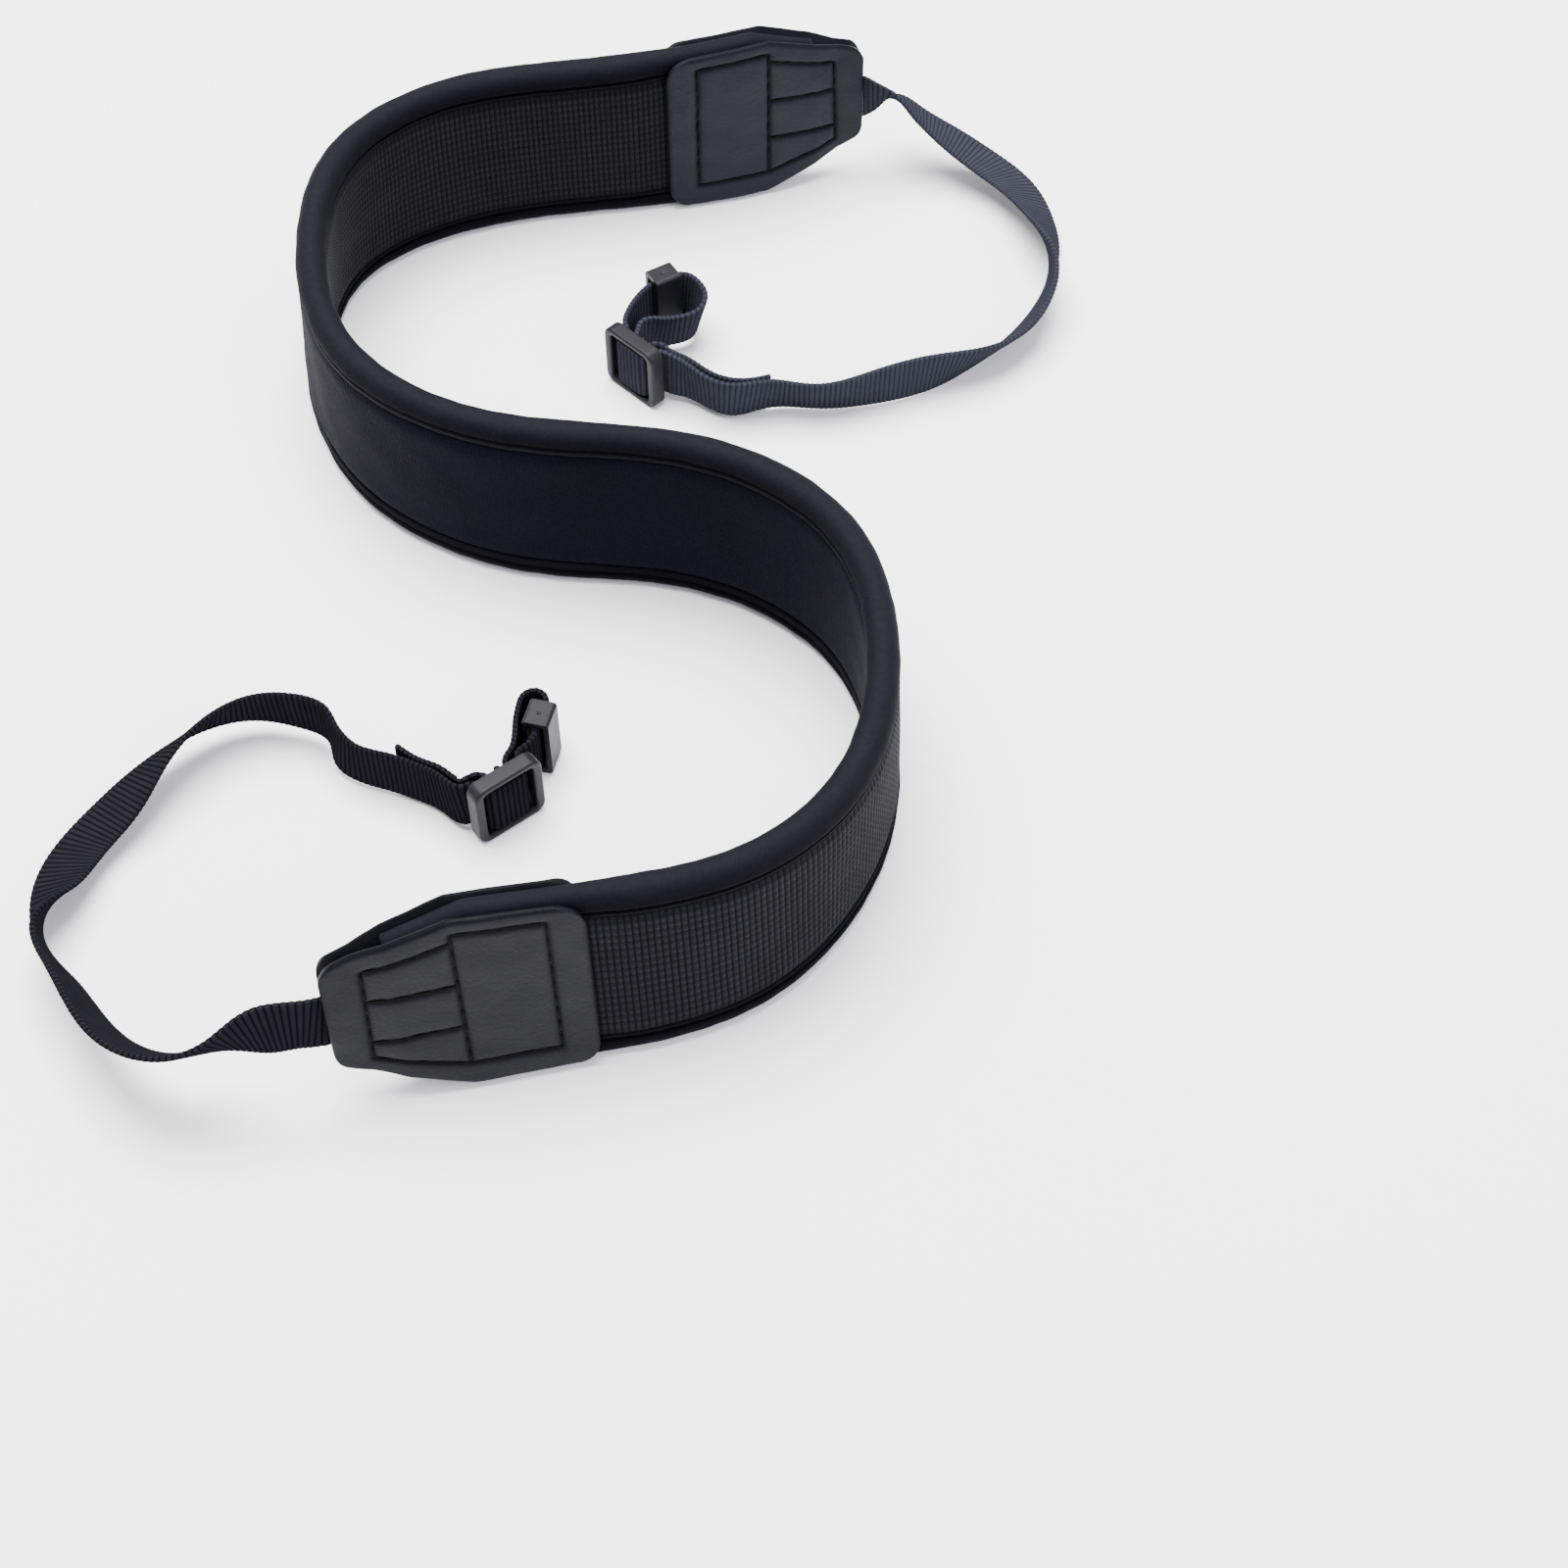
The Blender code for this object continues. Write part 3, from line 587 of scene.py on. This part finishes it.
def smooth_curve(rows):
    """Return distances along the rows and a function that reads the smooth curve through them.

    It is a natural cubic spline: bend holds its second derivative at each row.
    """
    rows = np.array(rows, dtype=float)
    # The last column is a lean, which has no part in the distances.
    axes = rows.shape[1] - 1
    steps = np.linalg.norm(np.diff(rows[:, :axes], axis=0), axis=1)
    knots = np.concatenate(([0.0], np.cumsum(steps)))
    count = len(knots)
    matrix = np.zeros((count, count))
    target = np.zeros_like(rows)
    matrix[0, 0] = 1.0
    matrix[-1, -1] = 1.0
    for i in range(1, count - 1):
        matrix[i, i - 1] = steps[i - 1]
        matrix[i, i] = 2.0 * (steps[i - 1] + steps[i])
        matrix[i, i + 1] = steps[i]
        rise = (rows[i + 1] - rows[i]) / steps[i]
        fall = (rows[i] - rows[i - 1]) / steps[i - 1]
        target[i] = 6.0 * (rise - fall)
    bend = np.linalg.solve(matrix, target)

    def read(distances):
        """Return rows at the distances and their slopes; past either end the curve is straight."""
        inside = np.clip(distances, 0.0, knots[-1])
        i = np.clip(np.searchsorted(knots, inside, side="right") - 1, 0, count - 2)
        h = steps[i][:, None]
        b = (inside - knots[i])[:, None] / h
        a = 1.0 - b
        value = a * rows[i] + b * rows[i + 1]
        value = value + ((a**3 - a) * bend[i] + (b**3 - b) * bend[i + 1]) * h * h / 6.0
        slope = (rows[i + 1] - rows[i]) / h
        slope = slope + ((1 - 3 * a * a) * bend[i] + (3 * b * b - 1) * bend[i + 1]) * h / 6.0
        straight = slope.copy()
        straight[:, axes:] = 0.0
        return value + straight * (distances - inside)[:, None], slope

    return knots, read


read_pad = smooth_curve(PAD_ROUTE)[1]


def pad_points(distance, up, out):
    """Return points of the band at route distances, heights up it and ways out of its middle."""
    rows, slopes = read_pad(distance)
    length = np.hypot(slopes[:, 0], slopes[:, 1])
    angle = np.radians(rows[:, 2])
    across = up * np.sin(angle) + out * np.cos(angle)
    x = rows[:, 0] - slopes[:, 1] / length * across
    y = rows[:, 1] + slopes[:, 0] / length * across
    return np.stack([x, y, up * np.cos(angle) - out * np.sin(angle)], axis=1)


def shifted(points):
    """Return points in metres, measured from the middle of the outline."""
    return (points - np.array([BOX_MIDDLE[0], BOX_MIDDLE[1], 0.0])) * MM


def from_narrow_end(distance):
    """Return how far route distances lie inside the nearer patch's narrow end."""
    return np.minimum(distance - PATCH_A_START, PATCH_B_START - distance)


def patch_inside(inset):
    """Return the distance of a patch's inner face from the band's middle layer."""
    insets, offsets = zip(*PATCH_INSIDE)
    return np.interp(inset, insets, offsets)


def half_thickness(distance):
    """Return half the band's thickness: full in the open, pressed thin under the patches."""
    return np.minimum(PAD_HALF, patch_inside(from_narrow_end(distance)) - GAP)


def band_limits(distance):
    """Return the heights of the band's lower and upper edge."""
    taper = PATCH_NARROW_HALF + PATCH_SLOPE * from_narrow_end(distance) - GAP
    half = np.minimum(PAD_HEIGHT / 2, taper)
    return PAD_HEIGHT / 2 - half, PAD_HEIGHT / 2 + half


def drift(points, size, seed):
    """Return slow random unevenness, about -1 to 1, for points in mm; size is its scale in mm."""
    offset = Vector((seed * 17.3, seed * 5.9, seed * 3.1))
    return np.array([noise.noise(Vector(point) / size + offset) for point in points]) * 1.6


def skin(stations, section, place):
    """Lay out a flat net, set each crossing by place, and close it into one skin.

    The net's columns are the stations along the piece and its rows the points of the section
    round it.  place(along, ring) gives points in mm, how raised each is together with its painted
    shade, and the cloth's own mm.
    """
    ring = np.array(list(section) + [section[0]], dtype=float)
    columns = len(stations) - 1
    rows = len(ring) - 1
    net = bmesh.new()
    bmesh.ops.create_grid(net, x_segments=columns, y_segments=rows, size=0.5)
    flat = np.array([corner.co[:2] for corner in net.verts]) + 0.5
    column = np.rint(flat[:, 0] * columns).astype(int)
    row = np.rint(flat[:, 1] * rows).astype(int)
    points, relief_and_painted_shade, cloth = place(np.asarray(stations)[column], ring[row])
    # The layer holds how raised each point is, with its painted shade, for the materials to darken
    # by.
    height = net.verts.layers.float.new("relief_and_painted_shade")
    for corner, point, value in zip(net.verts, shifted(points), relief_and_painted_shade):
        corner.co = point
        corner[height] = value
    pattern = net.loops.layers.uv.new("cloth")
    net.verts.index_update()
    for face in net.faces:
        for loop in face.loops:
            loop[pattern].uv = cloth[loop.vert.index]
    bmesh.ops.remove_doubles(net, verts=net.verts, dist=1e-7)
    rims = [edge for edge in net.edges if edge.is_boundary]
    bmesh.ops.holes_fill(net, edges=rims, sides=0)
    bmesh.ops.recalc_face_normals(net, faces=net.faces)
    return net


def spread(start, end, step):
    """Return distances from start to end, about step apart."""
    count = max(1, round((end - start) / step))
    return np.linspace(start, end, count + 1)


def cell(distance, pitch, sharpness):
    """Return the profile of round-topped ribs: 0 in a groove, 1 on a rib."""
    return np.abs(np.sin(np.pi * distance / pitch)) ** sharpness


def make_padded_band(finish):
    """Make the foam band with its smooth jersey face crowned between the two bindings."""
    start = PATCH_A_START + CORE_START
    end = PATCH_B_START - CORE_START
    tucked = BINDING_LEG - 0.5
    # A section point is its share of the height and its side.
    smooth_side = [(share, -1.0) for share in np.linspace(1.0, 0.0, 33)]
    ribbed_side = [(share, 1.0) for share in (0.0, 0.5, 1.0)]

    def place(along, ring):
        low, high = band_limits(along)
        half = half_thickness(along)
        on_smooth = ring[:, 1] < 0
        up = low + tucked + ring[:, 0] * (high - low - 2 * tucked)
        inward = np.minimum(up - low, high - up) - tucked
        rise = np.clip(inward / CROWN_REACH, 0.0, 1.0)
        crown = CROWN * (1.0 - (1.0 - rise) ** 2)
        middle = pad_points(along, up, np.zeros(len(along)))
        soft = 0.14 * drift(middle, 9.0, 1) + 0.22 * drift(middle, 26.0, 2)
        smooth = -(half - CROWN + crown + soft * rise)
        out = np.where(on_smooth, smooth, half - BINDING_WALL - GAP)
        return pad_points(along, up, out), rise, np.stack([along, up], axis=1)

    shell = skin(spread(start, end, 1.2), smooth_side + ribbed_side, place)
    piece = dress(add_piece("padded_band", shell, finish), "neoprene_jersey", "pad_core")
    return piece


def make_ribbed_face(finish):
    """Make the ribbed mesh layer as rows of small raised cells."""
    under_patch = 1.0
    start = PATCH_A_START + PATCH_LENGTH + GAP - under_patch
    end = PATCH_B_START - PATCH_LENGTH - GAP + under_patch
    cells = round((end - start) / RIB_PITCH)
    stations = np.linspace(start, end, cells * RIB_SAMPLES + 1)
    # A section point is its share of the height and its layer.
    front = [(share, 1.0) for share in np.linspace(0.0, 1.0, RIB_ROWS * ROW_SAMPLES + 1)]
    back = [(share, 0.0) for share in (1.0, 0.5, 0.0)]
    edge = BINDING_LEG - 0.35

    def place(along, ring):
        low, high = band_limits(along)
        outer = half_thickness(along)
        share = ring[:, 0]
        up = low + edge + share * (high - low - 2 * edge)
        inward = np.minimum(up - low, high - up)
        columns = cell(along - start, (end - start) / cells, 0.7)
        rows = cell(share * RIB_ROWS, 1.0, 0.5)
        # The seam presses the mesh flat beside the binding, and painted shade darkens it there.
        free = np.clip((inward - BINDING_LEG) / 1.6, 0.0, 1.0)
        # The same share raises the cells and paints shade into the grooves between them.
        relief_and_painted_shade = columns * (0.5 + 0.5 * rows) * (0.3 + 0.7 * free)
        rise = np.clip(inward - edge, 0.0, 2.0) / 2.0
        middle = pad_points(along, up, np.zeros(len(along)))
        soft = 0.12 * drift(middle, 11.0, 3) * rise
        foot = outer - CELL_HEIGHT - MESH_SWELL
        front_out = foot + CELL_HEIGHT * relief_and_painted_shade + MESH_SWELL * rise + soft
        out = np.where(ring[:, 1] > 0.5, front_out, foot - 0.4)
        return pad_points(along, up, out), relief_and_painted_shade, np.stack([along, up], axis=1)

    piece = add_piece("ribbed_face", skin(stations, front + back, place), finish)
    dress(piece, "ribbed_mesh", "grip_mesh")
    return piece


def binding_section():
    """Return the section of a binding, from the lip on the ribbed face round and back inside.

    A point on a leg is its way in from the edge, its side and its layer, 1 outside and 0 inside;
    on the roll it is its angle from the edge, 2 for the roll, and its layer.
    """
    lip = BINDING_LEG - 0.1
    lip_top = BINDING_LEG - 0.5
    outside = [(lip, 1.0, 0.0), (lip_top, 1.0, 1.0)]
    outside += [(inward, 1.0, 1.0) for inward in reversed(SEAM_ROWS)]
    outside += [(angle, 2.0, 1.0) for angle in np.linspace(90, -90, ROLL_ROWS)]
    outside += [(inward, -1.0, 1.0) for inward in SEAM_ROWS]
    outside += [(lip_top, -1.0, 1.0), (lip, -1.0, 0.0)]
    inside = [(angle, 2.0, 0.0) for angle in np.linspace(-90, 90, 7)]
    return outside + inside


def make_binding(name, upper, finish):
    """Make one edge binding: a folded tape with a puffed roll and a sunk seam on each face."""
    start = PATCH_A_START + CORE_START
    end = PATCH_B_START - CORE_START

    def place(along, ring):
        low, high = band_limits(along)
        half = half_thickness(along)
        rolled = ring[:, 1] > 1.5
        outer = ring[:, 2] > 0.5
        smooth = ring[:, 1] < 0
        side = np.where(smooth, -1.0, 1.0)
        leg = ring[:, 0]
        angle = np.radians(np.where(rolled, ring[:, 0], 0.0))
        # The seam is nearer the edge on the smooth face and shows less there.
        seam = np.where(smooth, SMOOTH_SEAM, SEAM_FROM_EDGE)
        sunk = np.where(smooth, 0.6, 1.0) * np.exp(-(((leg - seam) / SEAM_WIDTH) ** 2))
        lip = np.clip((leg - seam) / (BINDING_LEG - seam), 0.0, 1.0)
        face = half + 0.02
        inner_face = half - 0.8
        inner_roll = half - BINDING_WALL + 0.25
        leg_out = np.where(outer, face - SEAM_DEPTH * sunk - LIP_DEPTH * lip, inner_face)
        radius = np.where(outer, face, inner_roll)
        inward = np.where(rolled, half - radius * np.cos(angle), leg)
        out = np.where(rolled, radius * np.sin(angle), side * leg_out)
        base = pad_points(along, low, np.zeros(len(along)))
        puckers = 0.10 * drift(base, 3.2, 4) + 0.12 * drift(base, 14.0, 5)
        bulge = np.where(outer, puckers, 0.0) * np.where(rolled, 1.0, 0.6)
        out = out + np.where(rolled, np.sin(angle), side) * bulge
        points = pad_points(along, high - inward if upper else low + inward, out)
        # The lower roll lies flat where it meets the floor.
        points[:, 2] = np.where(points[:, 2] < 0.3, 0.0, points[:, 2])
        # Painted light and shade: the leg darkens into its sunk seam and lightens out to its lip,
        # and the roll darkens down its sides away from its top.
        leg_painted_shade = (0.35 + 0.3 * lip) * (1.0 - 0.9 * sunk)
        relief_and_painted_shade = np.where(rolled, 0.35 + 0.65 * np.cos(angle), leg_painted_shade)
        girth = np.where(rolled, angle * PAD_HALF, side * (leg + 2.0))
        return points, relief_and_painted_shade, np.stack([along, girth], axis=1)

    shell = skin(spread(start, end, 0.9), binding_section(), place)
    piece = dress(add_piece(name, shell, finish), "edge_binding", name)
    return piece


def corner_cut(inset, radius, start):
    """Return how much a rounded corner takes off the half height near an end at start."""
    reach = np.clip(np.abs(inset - start), 0.0, radius)
    return radius - np.sqrt(radius**2 - (radius - reach) ** 2)


def patch_taper(inset):
    """Return the half height of a patch with sharp corners."""
    return np.minimum(PATCH_HALF_HEIGHT, PATCH_NARROW_HALF + PATCH_SLOPE * inset)


def patch_half(inset):
    """Return the half height of a patch, with its round corners."""
    half = patch_taper(inset) - corner_cut(inset, PATCH_END_ROUND, 0.0)
    return half - corner_cut(inset, PATCH_BACK_ROUND, PATCH_LENGTH)


def from_seams(inset, up):
    """Return the distance from the nearest stitch line of a patch."""
    spots = np.stack([inset, up], axis=1)
    nearest = np.full(len(inset), np.inf)
    for first, last in PATCH_SEAMS:
        first = np.array(first)
        way = np.array(last) - first
        share = np.clip((spots - first) @ way / (way @ way), 0.0, 1.0)
        nearest = np.minimum(nearest, np.linalg.norm(spots - first - share[:, None] * way, axis=1))
    return nearest


def patch_face(inset, up, web_height):
    """Return how far a patch's outer face stands off its inner face, and its painted shade, dark in
    the stitch grooves and along the rim.
    """
    ends = np.minimum(inset, PATCH_LENGTH - inset)
    rim = np.minimum(ends, patch_taper(inset) - np.abs(up - PATCH_MIDDLE))
    near = from_seams(inset, up)
    groove = np.exp(-((near / GROOVE_WIDTH) ** 2))
    puff = (1.0 - np.exp(-near / 1.5)) * np.clip(rim / 4.0, 0.0, 1.0)
    edge = np.clip(rim / RIM_ROUND, 0.0, 1.0)
    turned = 1.0 - np.sqrt(1.0 - (1.0 - edge) ** 2)
    # The leather rises over the end of the webbing and falls back behind it.
    over_web = np.exp(-((up - web_height) / 4.4) ** 4) * np.clip(1.0 - inset / 7.0, 0.0, 1.0)
    wall = PATCH_WALL - GROOVE_DEPTH * groove + PANEL_SWELL * puff - RIM_FALL * turned
    # Painted shade: darker in the stitch grooves and where the rim turns down.
    relief_and_painted_shade = np.clip(1.0 - 0.85 * groove - 0.5 * (1.0 - edge), 0.0, 1.0)
    return wall + WEB_SWELL * over_web, relief_and_painted_shade


def patch_points(start, direction, side, inset, up, layer):
    """Return points of a patch, a layer's height above its inner face."""
    points = pad_points(start + direction * inset, up, side * (patch_inside(inset) + layer))
    points[:, 2] = np.maximum(points[:, 2], PATCH_FLOOR)
    return points


def make_patch(name, start, direction, side, web_height, finish):
    """Make one leather layer of a patch, with pillowed panels between its stitch lines."""
    # Stations and section points crowd together at the rim, where the leather turns down.
    near = [0.0, 0.12, 0.3, 0.55, 0.85, 1.3, 1.8, 2.4, 3.0]
    last = (5.0, 4.2, 3.4, 2.7, 2.0, 1.4, 0.9, 0.5, 0.25, 0.08, 0.0)
    far = [PATCH_LENGTH - reach for reach in last]
    stations = near + list(spread(3.4, far[0] - 0.4, 0.45)) + far
    shares = np.linspace(-1.0, 1.0, 85)
    shares = np.sign(shares) * (1.0 - (1.0 - np.abs(shares)) ** 1.15)
    # A section point is its share of the half height and its layer.
    front = [(share, 1.0) for share in shares]
    back = [(share, 0.0) for share in (1.0, 0.4, -0.4, -1.0)]

    def place(along, ring):
        up = PATCH_MIDDLE + ring[:, 0] * patch_half(along)
        wall, relief_and_painted_shade = patch_face(along, up, web_height)
        spots = pad_points(start + direction * along, up, np.full(len(along), 2.0 * side))
        ends = np.clip(np.minimum(along, PATCH_LENGTH - along), 0.0, 1.0)
        soft = 0.12 * drift(spots, 5.0, 6) * ends
        layer = np.where(ring[:, 1] > 0.5, wall + soft, 0.0)
        points = patch_points(start, direction, side, along, up, layer)
        return points, relief_and_painted_shade, np.stack([along, up], axis=1)

    piece = add_piece(name, skin(stations, front + back, place), finish)
    dress(piece, "patch_leather", name)
    return piece


def add_stitch(threads, first, last):
    """Add one stitch between two points in metres: a slim thread, sunk at its ends."""
    way = last - first
    turn = way.to_track_quat("X", "Z").to_matrix().to_4x4()
    size = Matrix.Diagonal((way.length / 2, THREAD * MM / 2, THREAD * MM / 2, 1.0))
    middle = Matrix.Translation((first + last) / 2)
    bmesh.ops.create_uvsphere(threads, u_segments=6, v_segments=6, radius=1.0,
                              matrix=middle @ turn @ size @ Matrix.Rotation(math.pi / 2, 4, "Y"))


def make_patch_stitches(name, start, direction, side, web_height, finish):
    """Sew one leather layer along its stitch lines."""
    threads = bmesh.new()
    for seam_start, seam_end in PATCH_SEAMS:
        first = np.array(seam_start)
        way = np.array(seam_end) - first
        count = max(1, round(np.linalg.norm(way) / STITCH_PITCH))
        for i in range(count):
            inset, up = np.array([first + way * (i + share) / count for share in STITCH_SHARE]).T
            layer = patch_face(inset, up, web_height)[0] + STITCH_LIFT
            ends = shifted(patch_points(start, direction, side, inset, up, layer))
            add_stitch(threads, Vector(ends[0]), Vector(ends[1]))
    return dress(add_piece(name, threads, finish), "patch_leather")


def slider_axes(slider):
    """Return a slider's middle, the way along it and the way to its back, on the floor."""
    x, y, turn = slider
    angle = math.radians(turn)
    along = np.array([math.cos(angle), math.sin(angle)])
    back = np.array([-math.sin(angle), math.cos(angle)])
    return np.array([x, y]), along, back


def weave(rows, slider, sense):
    """Return webbing stations over the middle bar; sense is +1 or -1 for the way it runs."""
    middle, along, back = slider_axes(slider)
    stations = []
    for distance, depth in rows:
        x, y = middle + along * (sense * distance) + back * depth
        stations.append((x, y, HARDWARE_HEIGHT, 0.0))
    return tuple(stations)


def held(start, direction, height):
    """Return the webbing stations between the layers of a patch, at the band's own lean."""
    distances = np.array([start + direction * inset for inset in WEB_HELD])
    points = pad_points(distances, np.full(len(distances), height), np.zeros(len(distances)))
    leans = read_pad(distances)[0][:, 2] * direction
    return tuple((*point, lean) for point, lean in zip(points, leans))


def make_webbing(name, run, slider, sense, loop, tail, finish):
    """Make one ribbed webbing through its patch, slider, keeper and slider again, in one piece."""
    there = weave(WEAVE_OUTER, slider, sense)
    back = weave(WEAVE_INNER, slider, sense)
    knots, read = smooth_curve(run + there + loop + back + tail)
    length = knots[-1]
    ribs = round(length / WEB_RIB)
    stations = np.linspace(0.0, length, ribs * WEB_RIB_SAMPLES + 1)
    flat = WEB_WIDTH / 2 - WEB_EDGE
    face = [(flat * share, WEB_HALF) for share in np.linspace(1.0, -1.0, 15)]
    edge = [(-flat - WEB_EDGE * math.cos(turn), WEB_HALF * math.sin(turn))
            for turn in np.radians((60, 30, 0, -30, -60))]
    section = face + edge + [(-across, -through) for across, through in face + edge]

    def place(along, ring):
        rows, slopes = read(along)
        forward = slopes[:, :3] / np.linalg.norm(slopes[:, :3], axis=1, keepdims=True)
        up = np.array([0.0, 0.0, 1.0]) - forward * forward[:, 2:3]
        up /= np.linalg.norm(up, axis=1, keepdims=True)
        angle = np.radians(rows[:, 3:4])
        across = up * np.cos(angle) + np.cross(forward, up) * np.sin(angle)
        through = np.cross(forward, across)
        edge_down = np.abs(across[:, 2]) * WEB_WIDTH / 2
        face_down = np.abs(across[:, 2]) * (WEB_WIDTH / 2 - 0.35) + np.abs(through[:, 2]) * WEB_HALF
        lowest = rows[:, 2] - np.maximum(edge_down, face_down)
        # The ribs shape the webbing and paint shade into the grooves between them.
        rib = cell(along, length / ribs, 0.6)
        uneven = 0.0016 * np.abs(drift(rows[:, :3], 2.4, 7))
        thick = ring[:, 1] * (0.84 + 0.16 * rib)
        wide = ring[:, 0] * (1.0 - 0.018 * (1.0 - rib) - uneven)
        points = rows[:, :3] + across * wide[:, None] + through * thick[:, None]
        points[:, 2] += np.maximum(0.0, WEB_LIFT - lowest)
        # Each face takes its threads from its own part of the cloth.
        girth = ring[:, 0] + np.where(ring[:, 1] > 0, 0.0, 30.0)
        return points, rib, np.stack([along, girth], axis=1)

    piece = dress(add_piece(name + "_woven", skin(stations, section, place), finish),
                  "nylon_webbing", name)
    return piece


def moulded_frame(size, window, corner, edge):
    """Return a moulded frame standing on its lower bar: a rounded plate with a window, in mm."""
    width, depth, height = size
    # A flat plate gets round corners, then its window.
    plate = bmesh.new()
    bmesh.ops.create_grid(plate, x_segments=1, y_segments=1, size=0.5)
    bmesh.ops.scale(plate, vec=(width, height, 1.0), verts=plate.verts)
    bmesh.ops.bevel(plate, geom=list(plate.verts), offset=corner, segments=6, profile=0.5,
                    affect="VERTICES", material=-1)
    rail = (height - window[1]) / 2
    bmesh.ops.inset_region(plate, faces=list(plate.faces), thickness=rail, use_boundary=True,
                           use_even_offset=True)
    inner = min(plate.faces, key=lambda face: face.calc_center_median().length)
    bmesh.ops.scale(plate, vec=(window[0] / (width - 2 * rail), 1.0, 1.0), verts=inner.verts)
    bmesh.ops.delete(plate, geom=[inner], context="FACES_ONLY")
    # It grows to its depth, every sharp edge is rounded, and it is stood up.
    grown = bmesh.ops.extrude_face_region(plate, geom=list(plate.faces))["geom"]
    fresh = [item for item in grown if isinstance(item, bmesh.types.BMVert)]
    bmesh.ops.translate(plate, vec=(0, 0, -depth), verts=fresh)
    bmesh.ops.recalc_face_normals(plate, faces=plate.faces)
    sharp = [item for item in plate.edges if item.calc_face_angle(0.0) > 1.2]
    bmesh.ops.bevel(plate, geom=sharp, offset=edge, segments=3, profile=0.5, affect="EDGES",
                    material=-1, clamp_overlap=True)
    bmesh.ops.rotate(plate, cent=(0, 0, 0), matrix=Matrix.Rotation(math.pi / 2, 3, "X"),
                     verts=plate.verts)
    return plate


def stand_moulding(name, shell, place, finish):
    """Stand a moulded shell, in mm, at its place on the floor and finish it with even faces."""
    x, y, turn = place
    spot = shifted(np.array([[x, y, HARDWARE_HEIGHT]]))[0]
    bmesh.ops.scale(shell, vec=(MM, MM, MM), verts=shell.verts)
    bmesh.ops.rotate(shell, cent=(0, 0, 0), matrix=Matrix.Rotation(math.radians(turn), 3, "Z"),
                     verts=shell.verts)
    bmesh.ops.translate(shell, vec=spot, verts=shell.verts)
    bmesh.ops.recalc_face_normals(shell, faces=shell.faces)
    piece = add_piece(name + "_moulded", shell, finish)
    piece.modifiers.new("even_faces", "WEIGHTED_NORMAL")
    return dress(piece, "moulded_plastic", name)


def make_slider(name, place, finish):
    """Make a three-bar slider with round edges and its middle bar set to the back."""
    shell = moulded_frame(SLIDER_SIZE, SLIDER_WINDOW, SLIDER_CORNER, SLIDER_EDGE)
    rooted = 0.5
    middle = Matrix.Translation((0, MIDDLE_BAR_DEPTH, 0))
    bmesh.ops.create_cone(shell, cap_ends=True, segments=14, radius1=MIDDLE_BAR / 2,
                          radius2=MIDDLE_BAR / 2, depth=SLIDER_WINDOW[1] + 2 * rooted,
                          matrix=middle)
    return stand_moulding(name, shell, place, finish)


def make_keeper(name, place, finish):
    """Make a keeper: a short moulded sleeve with round edges and a gate dimple on its top."""
    shell = moulded_frame(KEEPER_SIZE, KEEPER_WINDOW, KEEPER_CORNER, KEEPER_EDGE)
    bmesh.ops.translate(shell, vec=(0, -KEEPER_SIZE[1] / 2, 0), verts=shell.verts)
    # The gate dimple is a round face set into the middle of the top and sunk.
    top = max(shell.faces, key=lambda face: face.calc_center_median().z + face.calc_area() * 0.01)
    bmesh.ops.inset_region(shell, faces=[top], thickness=1.0, use_even_offset=True)
    centre = top.calc_center_median()
    bmesh.ops.subdivide_edges(shell, edges=list(top.edges), cuts=2)
    top = min(shell.faces, key=lambda face: (face.calc_center_median() - centre).length)
    for corner in top.verts:
        reach = corner.co - centre
        corner.co = centre + reach.normalized() * GATE_RADIUS
    bmesh.ops.inset_region(shell, faces=[top], thickness=0.14, depth=-GATE_DEPTH)
    return stand_moulding(name, shell, place, finish)


# --- the strap ---------------------------------------------------------------------------------
set_camera()
set_studio()
make_padded_band(neoprene_jersey())
make_ribbed_face(ribbed_mesh())
tape = stretch_binding()
make_binding("binding_upper", True, tape)
make_binding("binding_lower", False, tape)
# The two patches' leathers are painted lit and shaded copies of one leather: the far one bluer and
# paler with painted light, as the far webbing is.
far_leather_painted_light = imitation_leather("far_leather_painted_light", "#0f0f18")
near_leather_painted_shade = imitation_leather("near_leather_painted_shade", "#0b0b11")
thread = bonded_thread()
PATCHES = (
    ("patch_a_grip_side", PATCH_A_START, 1, 1, WEB_A_HEIGHT, far_leather_painted_light),
    ("patch_a_smooth_side", PATCH_A_START, 1, -1, WEB_A_HEIGHT, far_leather_painted_light),
    ("patch_b_grip_side", PATCH_B_START, -1, 1, WEB_B_HEIGHT, near_leather_painted_shade),
    ("patch_b_smooth_side", PATCH_B_START, -1, -1, WEB_B_HEIGHT, near_leather_painted_shade),
)
for patch, start, direction, side, web_height, leather in PATCHES:
    make_patch(patch, start, direction, side, web_height, leather)
    make_patch_stitches(patch + "_stitches", start, direction, side, web_height, thread)
run_a = held(PATCH_A_START, 1, WEB_A_HEIGHT) + WEB_A_RUN
run_b = held(PATCH_B_START, -1, WEB_B_HEIGHT) + WEB_B_RUN
# The two webbings are painted lit and shaded copies of one nylon: the far one paler and bluer with
# painted light, the near one darker with painted shade.
far_nylon_painted_light = nylon_webbing("far_webbing_painted_light", "#17181e", "#2d2e36")
near_nylon_painted_shade = nylon_webbing("near_webbing_painted_shade", "#050506", "#1c1b20")
make_webbing("webbing_a", run_a, SLIDER_A, -1, WEB_A_LOOP, WEB_A_TAIL, far_nylon_painted_light)
make_webbing("webbing_b", run_b, SLIDER_B, 1, WEB_B_LOOP, WEB_B_TAIL, near_nylon_painted_shade)
plastic = moulded_acetal()
make_slider("slider_a", SLIDER_A, plastic)
make_slider("slider_b", SLIDER_B, plastic)
make_keeper("keeper_a", KEEPER_A, plastic)
make_keeper("keeper_b", KEEPER_B, plastic)
